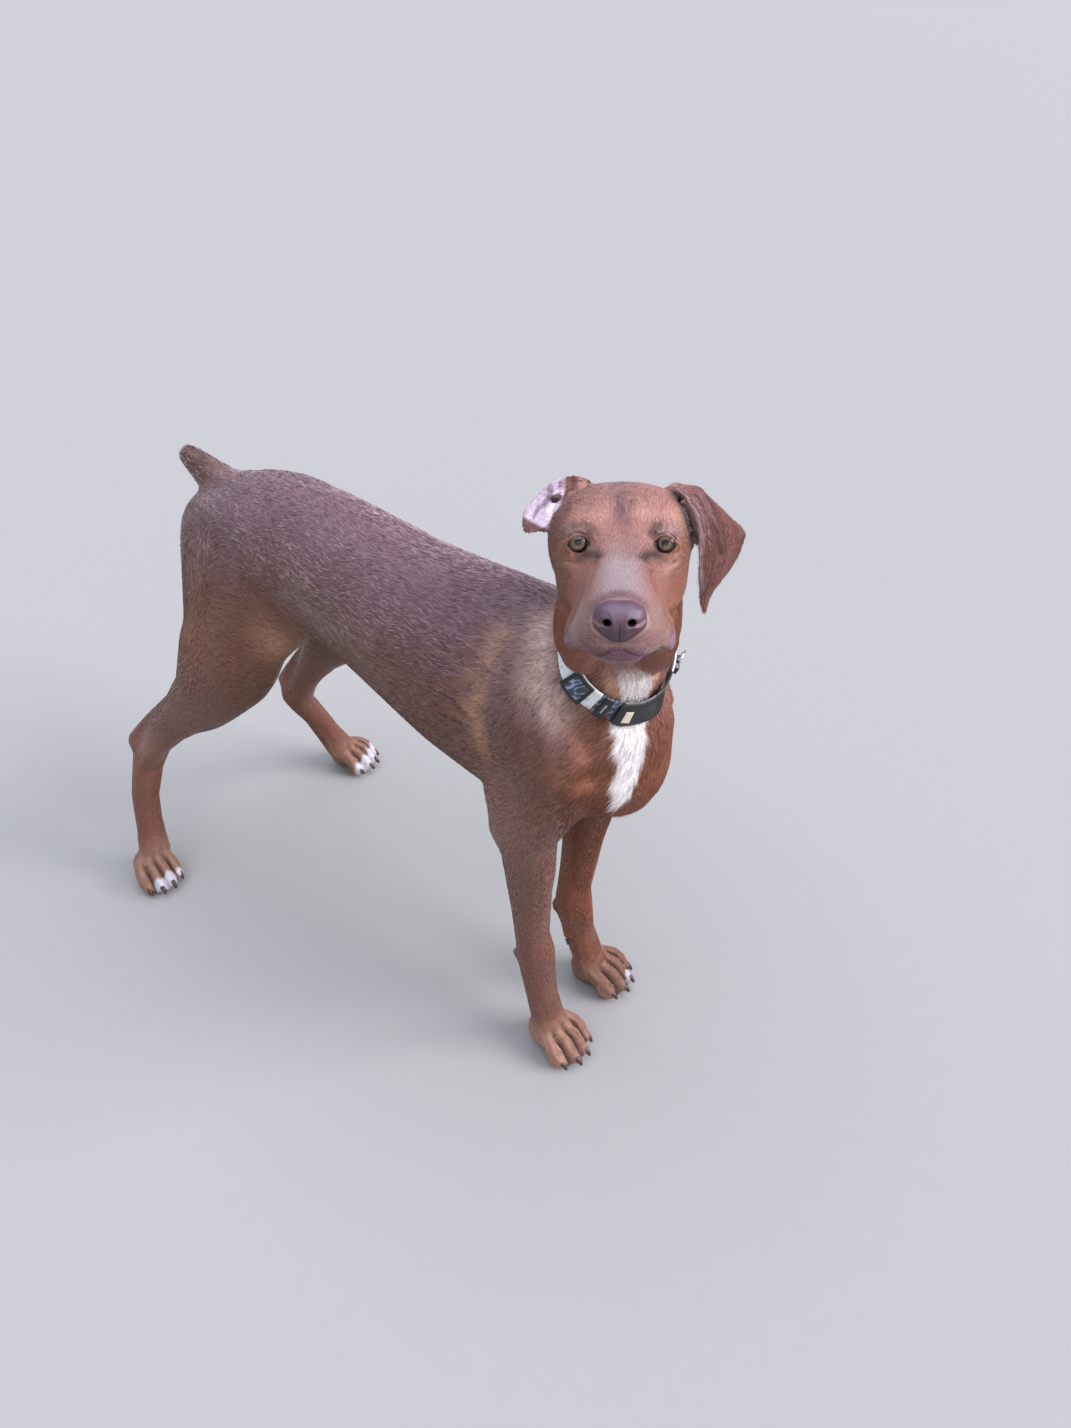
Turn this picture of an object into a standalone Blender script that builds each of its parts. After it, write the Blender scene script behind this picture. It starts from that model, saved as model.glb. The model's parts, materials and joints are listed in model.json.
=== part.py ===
"""A young short-coated dog with a docked tail, standing, life size, as a museum model.

Metres, +Z up. The nose end of the trunk points to -Y and the dog's left is +X.
The flesh is modelled whole: lofts for the trunk, neck, limbs and muzzle, and ellipsoids
for the muscles, are fused into one skin, thinned out to facets and parted by thin cuts
into the pieces that a person would name. Eyes, nose leather, ears, claws and the collar
are solids of their own.
"""

import math

import bmesh
import bpy
from mathutils import Matrix, Vector
from mathutils.bvhtree import BVHTree

# Driving sizes
FINE_VOXEL = 0.0030
CLEARANCE = 0.00035
CUT_GAP = 0.0004
CUT_SPARE = 0.014  # left on both sides of a cut until the facets are thinned out
EYE_RADIUS = 0.0108
EYE_PLACE = (0.0347, 0.0100, 0.0002)
EAR_THICKNESS = 0.0032
COLLAR_WIDTH = 0.020
COLLAR_THICKNESS = 0.0026
COLLAR_OFF = 0.0014  # how far the strap lies off the skin
COLLAR_STEPS = 72
BAND_STEP = 10.0
COLLAR_MIDDLE = (0.0045, -0.0175, 0.5875)
COLLAR_UP = (-0.163, -0.667, 0.727)
BUCKLE_SPAN = (-52.0, -3.0)
PRONG_DEPTH = 6.0  # how far the strap runs into each half of the buckle, in degrees
SLEEVE_WALL = 0.0013
SLIDER_SPAN = (-104.0, -81.0)
KEEPER_SPAN = (-68.0, -55.0)
RING_ANGLE = 30.0
RING_WIRE = 0.0026
RING_REACH = 0.015
RING_STAND_OFF = 0.0028  # from the strap to the middle of the ring's bar
RING_LEAN = 0.9

# Paws, claws and the shares of the whole
PAW_SCALES = dict(front=1.0, hind=0.95)
CLAW_LENGTH = 0.0075
TRUNK_MIDDLE = 0.30
SHARP_ANGLE = math.radians(50.0)

# Facets
HEAD_TRIANGLES = 940
BODY_TRIANGLES = 1760
PAW_TRIANGLES = 230

# Cuts: a place on the plane and the way it faces
HEAD_CUT = ((0.000, -0.020, 0.652), (-0.40, -0.22, 0.89))
NECK_CUT = ((0.0, 0.100, 0.622), (0.0, -0.606, 0.795))
TAIL_CUT = ((0.030, 0.571, 0.578), (0.0, 0.90, 0.43))
PAW_LEVEL = 0.066
# Inner wall of the block that lifts a limb off, as (outward from the middle plane, height),
# and how far it runs along the body
SHOULDER_MIDDLE = 0.0
SHOULDER_WALL = ((0.012, -0.010), (0.012, 0.325), (0.030, 0.345), (0.078, 0.490))
SHOULDER_REACH = (-0.250, 0.098)
HIP_MIDDLE = 0.029
HIP_WALL = ((0.000, -0.010), (0.000, 0.405), (0.010, 0.425), (0.042, 0.546))
HIP_REACH = (0.370, 0.760)
OUTSIDE = 0.33

# Places of the standing pose
HEAD_PLACE = Vector((-0.0398, -0.0426, 0.7196))  # midway between the eyes
HEAD_YAW = math.radians(-59.5)  # turned to the dog's right
HEAD_PITCH = math.radians(19.0)  # muzzle raised
HEAD_ROLL = math.radians(-2.4)
FRONT_RIGHT, FRONT_LEFT = "front_right", "front_left"
HIND_RIGHT, HIND_LEFT = "hind_right", "hind_left"

# Joint places of each leg, from the body down to the middle of the paw
FORELEGS = {
    FRONT_RIGHT: dict(
        shoulder=(-0.062, -0.020, 0.458), elbow=(-0.062, 0.044, 0.354),
        carpus=(-0.054, 0.032, 0.158), paw=(-0.053, 0.002), toe_out=4.0,
    ),
    FRONT_LEFT: dict(
        shoulder=(0.080, -0.023, 0.468), elbow=(0.0645, 0.043, 0.352),
        carpus=(0.036, 0.040, 0.150), paw=(0.058, 0.012), toe_out=10.0,
    ),
}
HINDLEGS = {
    HIND_RIGHT: dict(
        hip=(-0.010, 0.480, 0.500), stifle=(-0.082, 0.448, 0.388),
        hock=(-0.100, 0.680, 0.184), paw=(-0.166, 0.622), toe_out=12.0,
    ),
    HIND_LEFT: dict(
        hip=(0.070, 0.480, 0.500), stifle=(0.122, 0.432, 0.374),
        hock=(0.118, 0.610, 0.185), paw=(0.176, 0.562), toe_out=14.0,
    ),
}

# The trunk's sections: y, middle x, widest z, half width, top z, bottom z, and how full
# the upper and the lower half are, where 1 is an oval and less is fuller
TRUNK_SECTIONS = (
    (-0.046, 0.000, 0.448, 0.034, 0.490, 0.412, 1.00, 1.00),
    (-0.030, 0.000, 0.455, 0.060, 0.535, 0.392, 0.95, 1.00),
    (0.020, 0.000, 0.470, 0.078, 0.588, 0.368, 0.95, 1.05),
    (0.085, 0.000, 0.475, 0.084, 0.616, 0.356, 1.05, 1.15),
    (0.160, 0.002, 0.485, 0.086, 0.608, 0.376, 0.97, 1.15),
    (0.230, 0.006, 0.500, 0.083, 0.604, 0.412, 0.92, 1.05),
    (0.300, 0.012, 0.518, 0.075, 0.609, 0.428, 0.90, 0.98),
    (0.370, 0.018, 0.528, 0.069, 0.612, 0.434, 0.88, 0.95),
    (0.440, 0.025, 0.528, 0.072, 0.606, 0.442, 0.86, 0.95),
    (0.500, 0.029, 0.516, 0.074, 0.591, 0.444, 0.86, 0.95),
    (0.540, 0.030, 0.508, 0.060, 0.566, 0.450, 0.95, 1.00),
    (0.562, 0.030, 0.500, 0.034, 0.535, 0.466, 1.00, 1.00),
)
# The neck's sections: (middle, half width, half depth)
NECK_SECTIONS = (
    ((0.000, 0.066, 0.500), 0.080, 0.112),
    ((0.003, 0.028, 0.540), 0.0745, 0.090),
    ((0.007, -0.004, 0.572), 0.0625, 0.0640),
    ((0.010, -0.016, 0.604), 0.0560, 0.0580),
)
# The upper neck twists with the head, so its oval lies along the head's own side
THROAT_SIDE = (-0.566, 0.825, 0.0)
THROAT_SECTIONS = (
    ((0.009, -0.006, 0.568), 0.0600, 0.0640),
    ((0.008, -0.020, 0.604), 0.0545, 0.0560),
    ((0.011, -0.022, 0.636), 0.0510, 0.0490),
    ((0.023, -0.013, 0.664), 0.0480, 0.0460),
    ((0.035, -0.001, 0.692), 0.0420, 0.0410),
)
TAIL_SECTIONS = (
    ((0.030, 0.470, 0.545), 0.036, 0.036),
    ((0.030, 0.520, 0.556), 0.0300, 0.0300),
    ((0.030, 0.555, 0.568), 0.0235, 0.0240),
    ((0.029, 0.582, 0.582), 0.0190, 0.0200),
    ((0.028, 0.598, 0.591), 0.0165, 0.0170),
    ((0.028, 0.607, 0.597), 0.0110, 0.0110),
)

# The head's sections in its own frame, muzzle to -Y: y, widest z, half width, rise above
# the widest level, drop below it, and how full the upper and the lower half are
HEAD_SECTIONS = (
    (0.124, -0.006, 0.028, 0.026, 0.030, 1.00, 1.00),
    (0.104, -0.004, 0.045, 0.036, 0.048, 0.90, 1.00),
    (0.074, -0.006, 0.055, 0.046, 0.060, 0.80, 0.95),
    (0.044, -0.010, 0.058, 0.052, 0.060, 0.74, 0.95),
    (0.022, -0.014, 0.055, 0.050, 0.058, 0.74, 0.92),
    (0.008, -0.024, 0.046, 0.048, 0.048, 0.80, 0.88),
    (-0.006, -0.036, 0.040, 0.045, 0.036, 0.86, 0.82),
    (-0.024, -0.045, 0.0370, 0.045, 0.028, 0.86, 0.76),
    (-0.044, -0.050, 0.0355, 0.043, 0.024, 0.84, 0.74),
    (-0.064, -0.051, 0.0330, 0.038, 0.022, 0.82, 0.74),
    (-0.080, -0.050, 0.0290, 0.032, 0.020, 0.84, 0.78),
    (-0.093, -0.047, 0.0210, 0.023, 0.015, 0.92, 0.85),
)
# Flaps of the ears in the head's frame, as rows from root to tip, each from the front
# edge to the back edge. The left one hangs; the right one is flipped, inside out.
LEFT_EAR_ROWS = (
    ((0.0325, 0.044, 0.039), (0.0415, 0.054, 0.042), (0.0485, 0.074, 0.034), (0.0485, 0.094, 0.020)),
    ((0.0485, 0.036, 0.033), (0.0605, 0.048, 0.035), (0.0705, 0.070, 0.028), (0.0685, 0.096, 0.014)),
    ((0.0585, 0.031, 0.012), (0.0725, 0.039, 0.013), (0.0875, 0.064, 0.012), (0.0915, 0.090, 0.004)),
    ((0.0625, 0.031, -0.012), (0.0755, 0.037, -0.012), (0.0955, 0.060, -0.007), (0.1055, 0.082, -0.006)),
    ((0.0630, 0.034, -0.036), (0.0725, 0.037, -0.036), (0.0845, 0.051, -0.034), (0.0935, 0.066, -0.032)),
    ((0.0645, 0.039, -0.055), (0.0685, 0.040, -0.055), (0.0735, 0.046, -0.053), (0.0775, 0.054, -0.050)),
    ((0.0685, 0.044, -0.066), (0.0695, 0.044, -0.067), (0.0710, 0.045, -0.067), (0.0725, 0.047, -0.066)),
)
RIGHT_EAR_ROWS = (
    ((-0.0510, 0.040, 0.012), (-0.0490, 0.054, 0.026), (-0.0410, 0.064, 0.037), (-0.0260, 0.062, 0.043)),
    ((-0.0600, 0.040, 0.009), (-0.0600, 0.062, 0.023), (-0.0540, 0.072, 0.036), (-0.0400, 0.064, 0.047)),
    ((-0.0660, 0.042, 0.004), (-0.0700, 0.070, 0.014), (-0.0650, 0.080, 0.029), (-0.0550, 0.070, 0.042)),
    ((-0.0720, 0.046, 0.001), (-0.0780, 0.074, 0.005), (-0.0770, 0.084, 0.018), (-0.0690, 0.076, 0.032)),
    ((-0.0790, 0.054, -0.001), (-0.0850, 0.076, -0.001), (-0.0860, 0.088, 0.008), (-0.0810, 0.086, 0.019)),
    ((-0.0800, 0.070, -0.003), (-0.0850, 0.090, -0.005), (-0.0860, 0.100, 0.003), (-0.0830, 0.100, 0.012)),
    ((-0.0740, 0.090, -0.005), (-0.0780, 0.106, -0.008), (-0.0800, 0.114, 0.000), (-0.0790, 0.115, 0.008)),
    ((-0.0640, 0.108, -0.012), (-0.0660, 0.114, -0.011), (-0.0690, 0.118, -0.007), (-0.0700, 0.120, -0.002)),
)


# ---------------------------------------------------------------- tools

def clear_scene():
    """Removes every object of the open file."""
    for old in list(bpy.data.objects):
        bpy.data.objects.remove(old, do_unlink=True)


def new_object(name, bm):
    """Turns a bmesh into a linked object."""
    bmesh.ops.recalc_face_normals(bm, faces=bm.faces)
    mesh = bpy.data.meshes.new(name)
    bm.to_mesh(mesh)
    bm.free()
    obj = bpy.data.objects.new(name, mesh)
    bpy.context.scene.collection.objects.link(obj)
    return obj


def catmull(values, u):
    """Smooth value at u, from 0 to 1, through a list of Vectors."""
    last = len(values) - 1
    t = min(max(u, 0.0), 1.0) * last
    i = min(int(t), last - 1)
    f = t - i
    p1, p2 = values[i], values[i + 1]
    p0 = values[i - 1] if i else p1 * 2 - p2
    p3 = values[i + 2] if i + 2 <= last else p2 * 2 - p1
    return 0.5 * (
        p1 * 2 + (p2 - p0) * f + (p0 * 2 - p1 * 5 + p2 * 4 - p3) * f * f
        + (p1 * 3 - p0 - p2 * 3 + p3) * f ** 3
    )


def loft(name, sections, side=(1, 0, 0), around=20, steps=5, square=1.0):
    """A closed tube through (middle, half width, half depth) sections.

    The half width lies along side, and the half depth square to it and to the path.
    A square below 1 fills the corners of the oval.
    """
    middles = [Vector(s[0]) for s in sections]
    widths = [Vector((s[1], s[2], 0)) for s in sections]
    side = Vector(side)
    count = (len(sections) - 1) * steps
    bm = bmesh.new()
    rings = []
    for k in range(count + 1):
        u = k / count
        middle = catmull(middles, u)
        ahead = catmull(middles, u + 0.01) - catmull(middles, u - 0.01)
        ahead.normalize()
        across = (side - ahead * side.dot(ahead)).normalized()
        depth = ahead.cross(across)
        size = catmull(widths, u)
        ring = []
        for j in range(around):
            turn = 2 * math.pi * j / around
            c, s = math.cos(turn), math.sin(turn)
            c = math.copysign(abs(c) ** square, c)
            s = math.copysign(abs(s) ** square, s)
            ring.append(bm.verts.new(middle + across * size.x * c + depth * size.y * s))
        rings.append(ring)
    for low, high in zip(rings, rings[1:]):
        for j in range(around):
            k = (j + 1) % around
            bm.faces.new((low[j], low[k], high[k], high[j]))
    for ring, step in ((rings[0], -1), (rings[-1], 1)):
        middle = sum((v.co for v in ring), Vector()) / around
        pole = bm.verts.new(middle)
        for j in range(around):
            bm.faces.new((ring[j], ring[(j + 1) % around], pole))
    return new_object(name, bm)


def shell(name, sections, around=32, steps=5):
    """A closed form through upright sections along Y, each with its own upper and lower half.

    A section is (y, middle x, widest z, half width, rise, drop, upper fullness, lower fullness).
    """
    rows = [Vector(section[1:4]) for section in sections]
    places = [Vector((section[0], 0, 0)) for section in sections]
    heights = [Vector((section[4], section[5], 0)) for section in sections]
    fullness = [Vector((section[6], section[7], 0)) for section in sections]
    count = (len(sections) - 1) * steps
    bm = bmesh.new()
    rings = []
    for k in range(count + 1):
        u = k / count
        x, z, half = catmull(rows, u)
        y = catmull(places, u).x
        rise, drop = catmull(heights, u).xy
        upper, lower = catmull(fullness, u).xy
        ring = []
        for j in range(around):
            turn = 2 * math.pi * j / around
            c, s = math.cos(turn), math.sin(turn)
            power = upper if s > 0 else lower
            c = math.copysign(abs(c) ** power, c)
            s = math.copysign(abs(s) ** power, s)
            ring.append(bm.verts.new((x + half * c, y, z + (rise if s > 0 else drop) * s)))
        rings.append(ring)
    for low, high in zip(rings, rings[1:]):
        for j in range(around):
            k = (j + 1) % around
            bm.faces.new((low[j], low[k], high[k], high[j]))
    for ring in (rings[0], rings[-1]):
        pole = bm.verts.new(sum((v.co for v in ring), Vector()) / around)
        for j in range(around):
            bm.faces.new((ring[j], ring[(j + 1) % around], pole))
    return new_object(name, bm)


def blob(name, middle, radii, turn=(0, 0, 0), around=24):
    """An ellipsoid, turned by Euler angles in degrees."""
    bm = bmesh.new()
    bmesh.ops.create_uvsphere(bm, u_segments=around, v_segments=around // 2, radius=1.0)
    turned = Matrix.Rotation(math.radians(turn[2]), 4, "Z")
    turned @= Matrix.Rotation(math.radians(turn[1]), 4, "Y")
    turned @= Matrix.Rotation(math.radians(turn[0]), 4, "X")
    place = Matrix.Translation(middle) @ turned @ Matrix.Diagonal((*radii, 1))
    bmesh.ops.transform(bm, matrix=place, verts=bm.verts)
    return new_object(name, bm)


def apply_modifiers(obj):
    """Applies all modifiers of an object."""
    bpy.ops.object.select_all(action="DESELECT")
    obj.select_set(True)
    bpy.context.view_layer.objects.active = obj
    for modifier in list(obj.modifiers):
        bpy.ops.object.modifier_apply(modifier=modifier.name)


def mirrored(middle, sign):
    """The same place on the other side of the head's middle plane when sign is -1."""
    return (middle[0] * sign, middle[1], middle[2])


def mix(a, b, t):
    """The point a share t of the way from a to b."""
    return Vector(a) + (Vector(b) - Vector(a)) * t


# ---------------------------------------------------------------- flesh

def trunk():
    """Chest, belly, loin, rump, neck and tail."""
    sections = []
    for y, x, widest, half, top, bottom, upper, lower in TRUNK_SECTIONS:
        sections.append((y, x, widest, half, top - widest, widest - bottom, upper, lower))
    return [
        shell("trunk_form", sections),
        loft("neck_form", NECK_SECTIONS, around=24),
        loft("throat_form", THROAT_SECTIONS, side=THROAT_SIDE, around=24),
        loft("tail_form", TAIL_SECTIONS, around=16),
        blob("prosternum", (0.001, -0.042, 0.455), (0.058, 0.038, 0.058)),
        blob("withers", (0.0, 0.078, 0.572), (0.046, 0.085, 0.044)),
        blob("throat_base", (0.004, -0.031, 0.492), (0.061, 0.048, 0.056)),
    ]


def side_of(leg):
    """1 for a left leg and -1 for a right one."""
    return -1 if leg.endswith("right") else 1


def foreleg(leg, place):
    """Shoulder blade, upper arm, forearm, carpus and pastern of one foreleg."""
    sign = side_of(leg)
    shoulder, elbow = Vector(place["shoulder"]), Vector(place["elbow"])
    carpus = Vector(place["carpus"])
    paw = Vector((*place["paw"], 0.0))
    blade_top = Vector((0.036 * sign, 0.090, 0.555))
    return [
        loft(leg + "_blade", (
            (blade_top, 0.020, 0.040),
            (mix(blade_top, shoulder, 0.5) + Vector((0.012 * sign, 0.006, 0)), 0.028, 0.050),
            (shoulder + Vector((0, 0.010, 0.004)), 0.032, 0.040),
        )),
        loft(leg + "_upper_arm", (
            (shoulder + Vector((0, 0.022, 0.030)), 0.034, 0.050),
            (mix(shoulder, elbow, 0.5) + Vector((0, 0.020, 0.010)), 0.033, 0.054),
            (elbow + Vector((0, -0.004, 0.010)), 0.029, 0.040),
            (elbow + Vector((0, -0.004, -0.020)), 0.024, 0.030),
        )),
        blob(leg + "_elbow", elbow + Vector((0.002 * sign, 0.022, 0.004)), (0.017, 0.018, 0.022)),
        loft(leg + "_forearm", (
            (elbow + Vector((-0.002 * sign, -0.006, 0.030)), 0.028, 0.036),
            (mix(elbow, carpus, 0.15) + Vector((0, -0.008, 0)), 0.0270, 0.0325),
            (mix(elbow, carpus, 0.45) + Vector((0, -0.004, 0)), 0.0230, 0.0265),
            (mix(elbow, carpus, 0.80), 0.0205, 0.0225),
            (carpus + Vector((0, -0.002, 0.004)), 0.0230, 0.0250),
            (mix(carpus, paw, 0.30) + Vector((0, 0.002, 0)), 0.0200, 0.0215),
            (mix(carpus, paw, 0.62) + Vector((0, 0.002, 0)), 0.0215, 0.0205),
            (mix(carpus, paw, 0.78) + Vector((0, -0.002, 0)), 0.0250, 0.0210),
        )),
        blob(leg + "_stopper_pad", carpus + Vector((0, 0.021, -0.014)), (0.010, 0.011, 0.014)),
        blob(leg + "_dew_toe", dew_toe_place(leg), (0.0085, 0.0090, 0.0120)),
    ]


def dew_toe_place(leg):
    """Middle of the small toe on the inner side of a fore pastern."""
    sign = side_of(leg)
    carpus = Vector(FORELEGS[leg]["carpus"])
    paw_middle = Vector((*FORELEGS[leg]["paw"], 0.0))
    return mix(carpus, paw_middle, 0.26) + Vector((-0.0185 * sign, 0.004, 0))


def hindleg(leg, place):
    """Thigh, shank, hock and rear pastern of one hind leg."""
    sign = side_of(leg)
    hip, stifle = Vector(place["hip"]), Vector(place["stifle"])
    hock = Vector(place["hock"])
    paw = Vector((*place["paw"], 0.0))
    heel = hock + Vector((0, 0.004, 0.004))
    return [
        loft(leg + "_thigh", (
            (hip + Vector((-0.012 * sign, 0.012, 0.062)), 0.026, 0.050),
            (hip + Vector((-0.002 * sign, 0.018, 0.020)), 0.042, 0.084),
            (mix(hip, stifle, 0.40) + Vector((0, 0.010, 0)), 0.045, 0.086),
            (mix(hip, stifle, 0.75) + Vector((0, 0.012, 0)), 0.040, 0.077),
            (stifle + Vector((0, 0.046, -0.026)), 0.033, 0.056),
            (mix(stifle, hock, 0.25) + Vector((0, 0.010, -0.008)), 0.026, 0.044),
        )),
        blob(leg + "_stifle", stifle + Vector((0, 0.012, 0.004)), (0.026, 0.034, 0.034)),
        loft(leg + "_flank_fold", (
            (mix(hip, stifle, 0.10) + Vector((0.008 * sign, -0.090, -0.010)), 0.030, 0.034),
            (mix(hip, stifle, 0.45) + Vector((0, -0.054, 0.0)), 0.026, 0.037),
            (stifle + Vector((0, 0.010, 0.008)), 0.024, 0.024),
        ), around=16),
        loft(leg + "_shank", (
            (stifle + Vector((0, 0.034, -0.012)), 0.031, 0.043),
            (mix(stifle, hock, 0.25) + Vector((0, 0.006, -0.002)), 0.029, 0.045),
            (mix(stifle, hock, 0.55) + Vector((0, -0.002, -0.002)), 0.0225, 0.0300),
            (mix(stifle, hock, 0.82) + Vector((0, -0.010, -0.010)), 0.0190, 0.0215),
            (hock + Vector((0, -0.020, -0.018)), 0.0205, 0.0225),
        )),
        loft(leg + "_tendon", (
            (mix(stifle, hock, 0.45) + Vector((0, 0.014, 0.018)), 0.010, 0.012),
            (mix(stifle, hock, 0.78) + Vector((0, 0.010, 0.014)), 0.0065, 0.0090),
            (heel, 0.0115, 0.0125),
            (heel + Vector((0, 0.000, -0.010)), 0.0115, 0.0125),
        ), around=14),
        loft(leg + "_rear_pastern", (
            (heel + Vector((0, -0.002, -0.002)), 0.0120, 0.0125),
            (hock + Vector((0, -0.012, -0.024)), 0.0205, 0.0235),
            (mix(hock, paw, 0.38), 0.0190, 0.0215),
            (mix(hock, paw, 0.62), 0.0200, 0.0200),
            (mix(hock, paw, 0.80) + Vector((0, -0.004, 0)), 0.0240, 0.0205),
        )),
    ]


def toe_line(toe):
    """Knuckle, middle and tip of one toe in the paw's own frame, toes to -Y."""
    fan = (toe - 1.5) / 1.5  # -1 to 1 from the first toe to the last
    inner = 1 - abs(abs(fan) - 1 / 3) * 1.5  # 1 for the two middle toes, 0 for the outer
    reach = 0.026 + 0.010 * inner
    return (
        Vector((0.0165 * fan, 0.010, 0.034)),
        Vector((0.0240 * fan, -reach * 0.50, 0.0300 + 0.003 * inner)),
        Vector((0.0250 * fan, -reach, 0.0135)),
    )


def paw_frame(place):
    """Turns the paw's frame, toes to -Y, into the dog's."""
    sign = -1 if place["paw"][0] > 0 else 1
    turn = math.radians(place["toe_out"]) * -sign
    return Matrix.Translation((*place["paw"], 0)) @ Matrix.Rotation(turn, 4, "Z")


def paw(leg, place, scale):
    """Arch, pads and four toes of one paw."""
    frame = paw_frame(place) @ Matrix.Scale(scale, 4)
    pieces = [
        blob(leg + "_arch", (0, 0.010, 0.026), (0.0270, 0.027, 0.022)),
        blob(leg + "_pad", (0, 0.016, 0.011), (0.0210, 0.020, 0.0140)),
    ]
    for toe in range(4):
        knuckle, middle, tip = toe_line(toe)
        pieces.append(loft(f"{leg}_toe_{toe}", (
            (knuckle, 0.0090, 0.0105),
            (middle, 0.0100, 0.0120),
            (tip + Vector((0, 0.004, 0.001)), 0.0094, 0.0114),
            (tip + Vector((0, -0.006, -0.004)), 0.0060, 0.0072),
        ), around=14, steps=4))
        pad = tip + Vector((0, 0.006, -0.0065))
        pieces.append(blob(f"{leg}_toe_pad_{toe}", pad, (0.0084, 0.0110, 0.0085)))
    for piece in pieces:
        piece.data.transform(frame)
    return pieces


def head_frame():
    """Turns the head's own frame, eyes at the origin and muzzle to -Y, into the dog's."""
    turn = Matrix.Rotation(HEAD_YAW, 4, "Z") @ Matrix.Rotation(-HEAD_PITCH, 4, "X")
    turn @= Matrix.Rotation(HEAD_ROLL, 4, "Y")
    return Matrix.Translation(HEAD_PLACE) @ turn


def head():
    """Skull, muzzle, jaw and cheeks, in the head's own frame, then put in place."""
    sections = [(row[0], 0.0, *row[1:]) for row in HEAD_SECTIONS]
    pieces = [
        shell("head_form", sections),
        loft("lower_jaw", (
            ((0, 0.060, -0.052), 0.036, 0.022),
            ((0, 0.010, -0.060), 0.030, 0.018),
            ((0, -0.040, -0.067), 0.023, 0.0125),
            ((0, -0.068, -0.070), 0.0180, 0.0110),
        ), around=20, square=0.9),
    ]
    for sign, which in ((1, "left"), (-1, "right")):
        pieces += [
            blob(which + "_cheek", mirrored((0.033, 0.038, -0.032), sign), (0.023, 0.040, 0.033)),
            loft(which + "_cheekbone", (
                (mirrored((0.029, -0.008, -0.020), sign), 0.010, 0.010),
                (mirrored((0.0405, 0.018, -0.014), sign), 0.0130, 0.0130),
                (mirrored((0.045, 0.056, -0.006), sign), 0.0120, 0.0140),
            ), around=14),
            blob(which + "_brow", mirrored((0.028, 0.017, 0.012), sign), (0.0190, 0.017, 0.0130)),
            loft(which + "_flew", (
                (mirrored((0.0200, -0.072, -0.050), sign), 0.0110, 0.0130),
                (mirrored((0.0262, -0.052, -0.0555), sign), 0.0120, 0.0150),
                (mirrored((0.0330, -0.034, -0.0610), sign), 0.0110, 0.0150),
                (mirrored((0.0345, -0.014, -0.0600), sign), 0.0095, 0.0130),
            ), around=16),
            blob(which + "_pad", mirrored((0.0150, -0.078, -0.049), sign), (0.0140, 0.016, 0.0150)),
            blob(which + "_lids", mirrored((0.034, 0.0125, 0.000), sign), (0.0170, 0.0130, 0.0150)),
        ]
    pieces.append(blob("right_ear_root", (-0.0500, 0.052, -0.006), (0.0135, 0.030, 0.034)))
    for piece in pieces:
        piece.data.transform(head_frame())
    return pieces


def eyeball(which, sign):
    """One eyeball, in the head's frame, then put in place."""
    ball = blob("eye_" + which, mirrored(EYE_PLACE, sign), (EYE_RADIUS,) * 3, around=12)
    ball.data.transform(head_frame())
    return ball


def nose_leather():
    """The bare leather of the nose with its two nostrils."""
    piece = blob("nose", (0, -0.0880, -0.0365), (0.0200, 0.0135, 0.0155), around=14)
    piece.data.transform(head_frame())
    return piece


def ear(which, rows):
    """A flap of even thickness through rows of points, with rounded edges."""
    across, along = 4, (len(rows) - 1) * 2
    bm = bmesh.new()
    grid = []
    for i in range(along + 1):
        row = [catmull([Vector(r[k]) for r in rows], i / along) for k in range(4)]
        grid.append([bm.verts.new(catmull(row, j / across)) for j in range(across + 1)])
    for low, high in zip(grid, grid[1:]):
        for j in range(across):
            bm.faces.new((low[j], low[j + 1], high[j + 1], high[j]))
    flap = new_object("ear_" + which, bm)
    flap.data.transform(head_frame())
    thicken = flap.modifiers.new("thicken", "SOLIDIFY")
    thicken.thickness = EAR_THICKNESS
    thicken.offset = 0.0
    apply_modifiers(flap)
    return flap


def group(obj, name, weight_at):
    """A vertex group whose weights come from each point's place."""
    weights = obj.vertex_groups.new(name=name)
    for v in obj.data.vertices:
        weight = weight_at(v.co)
        if weight > 0.01:
            weights.add([v.index], weight, "REPLACE")
    return weights


def ramp(value, low, high):
    """0 below low, 1 above high, and smooth between."""
    t = min(max((value - low) / (high - low), 0.0), 1.0)
    return t * t * (3 - 2 * t)


def blend_weight(place):
    """How much the trunk's muscles melt together: all of it, down to none on paws and face."""
    from_head = (place - HEAD_PLACE).length
    return ramp(place.z, 0.30, 0.40) * ramp(from_head, 0.10, 0.15)


def fused_flesh():
    """The whole flesh as one closed skin."""
    pieces = trunk() + head()
    for leg, place in FORELEGS.items():
        pieces += foreleg(leg, place) + paw(leg, place, PAW_SCALES["front"])
    for leg, place in HINDLEGS.items():
        pieces += hindleg(leg, place) + paw(leg, place, PAW_SCALES["hind"])
    bpy.ops.object.select_all(action="DESELECT")
    for piece in pieces:
        piece.select_set(True)
    bpy.context.view_layer.objects.active = pieces[0]
    bpy.ops.object.join()
    flesh = bpy.context.view_layer.objects.active
    flesh.name = "flesh"
    fuse = flesh.modifiers.new("fuse", "REMESH")
    fuse.mode = "VOXEL"
    fuse.voxel_size = FINE_VOXEL
    bpy.ops.object.modifier_apply(modifier="fuse")
    group(flesh, "melting", blend_weight)
    for name, iterations in (("soften", 18), ("melt", 60)):
        smooth = flesh.modifiers.new(name, "SMOOTH")
        smooth.factor = 0.5
        smooth.iterations = iterations
        if name == "melt":
            smooth.vertex_group = "melting"
        bpy.ops.object.modifier_apply(modifier=name)
    return flesh


# ---------------------------------------------------------------- parting

def copied(obj, name):
    """A second object with its own mesh."""
    twin = obj.copy()
    twin.data = obj.data.copy()
    twin.name = name
    bpy.context.scene.collection.objects.link(twin)
    return twin


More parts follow.
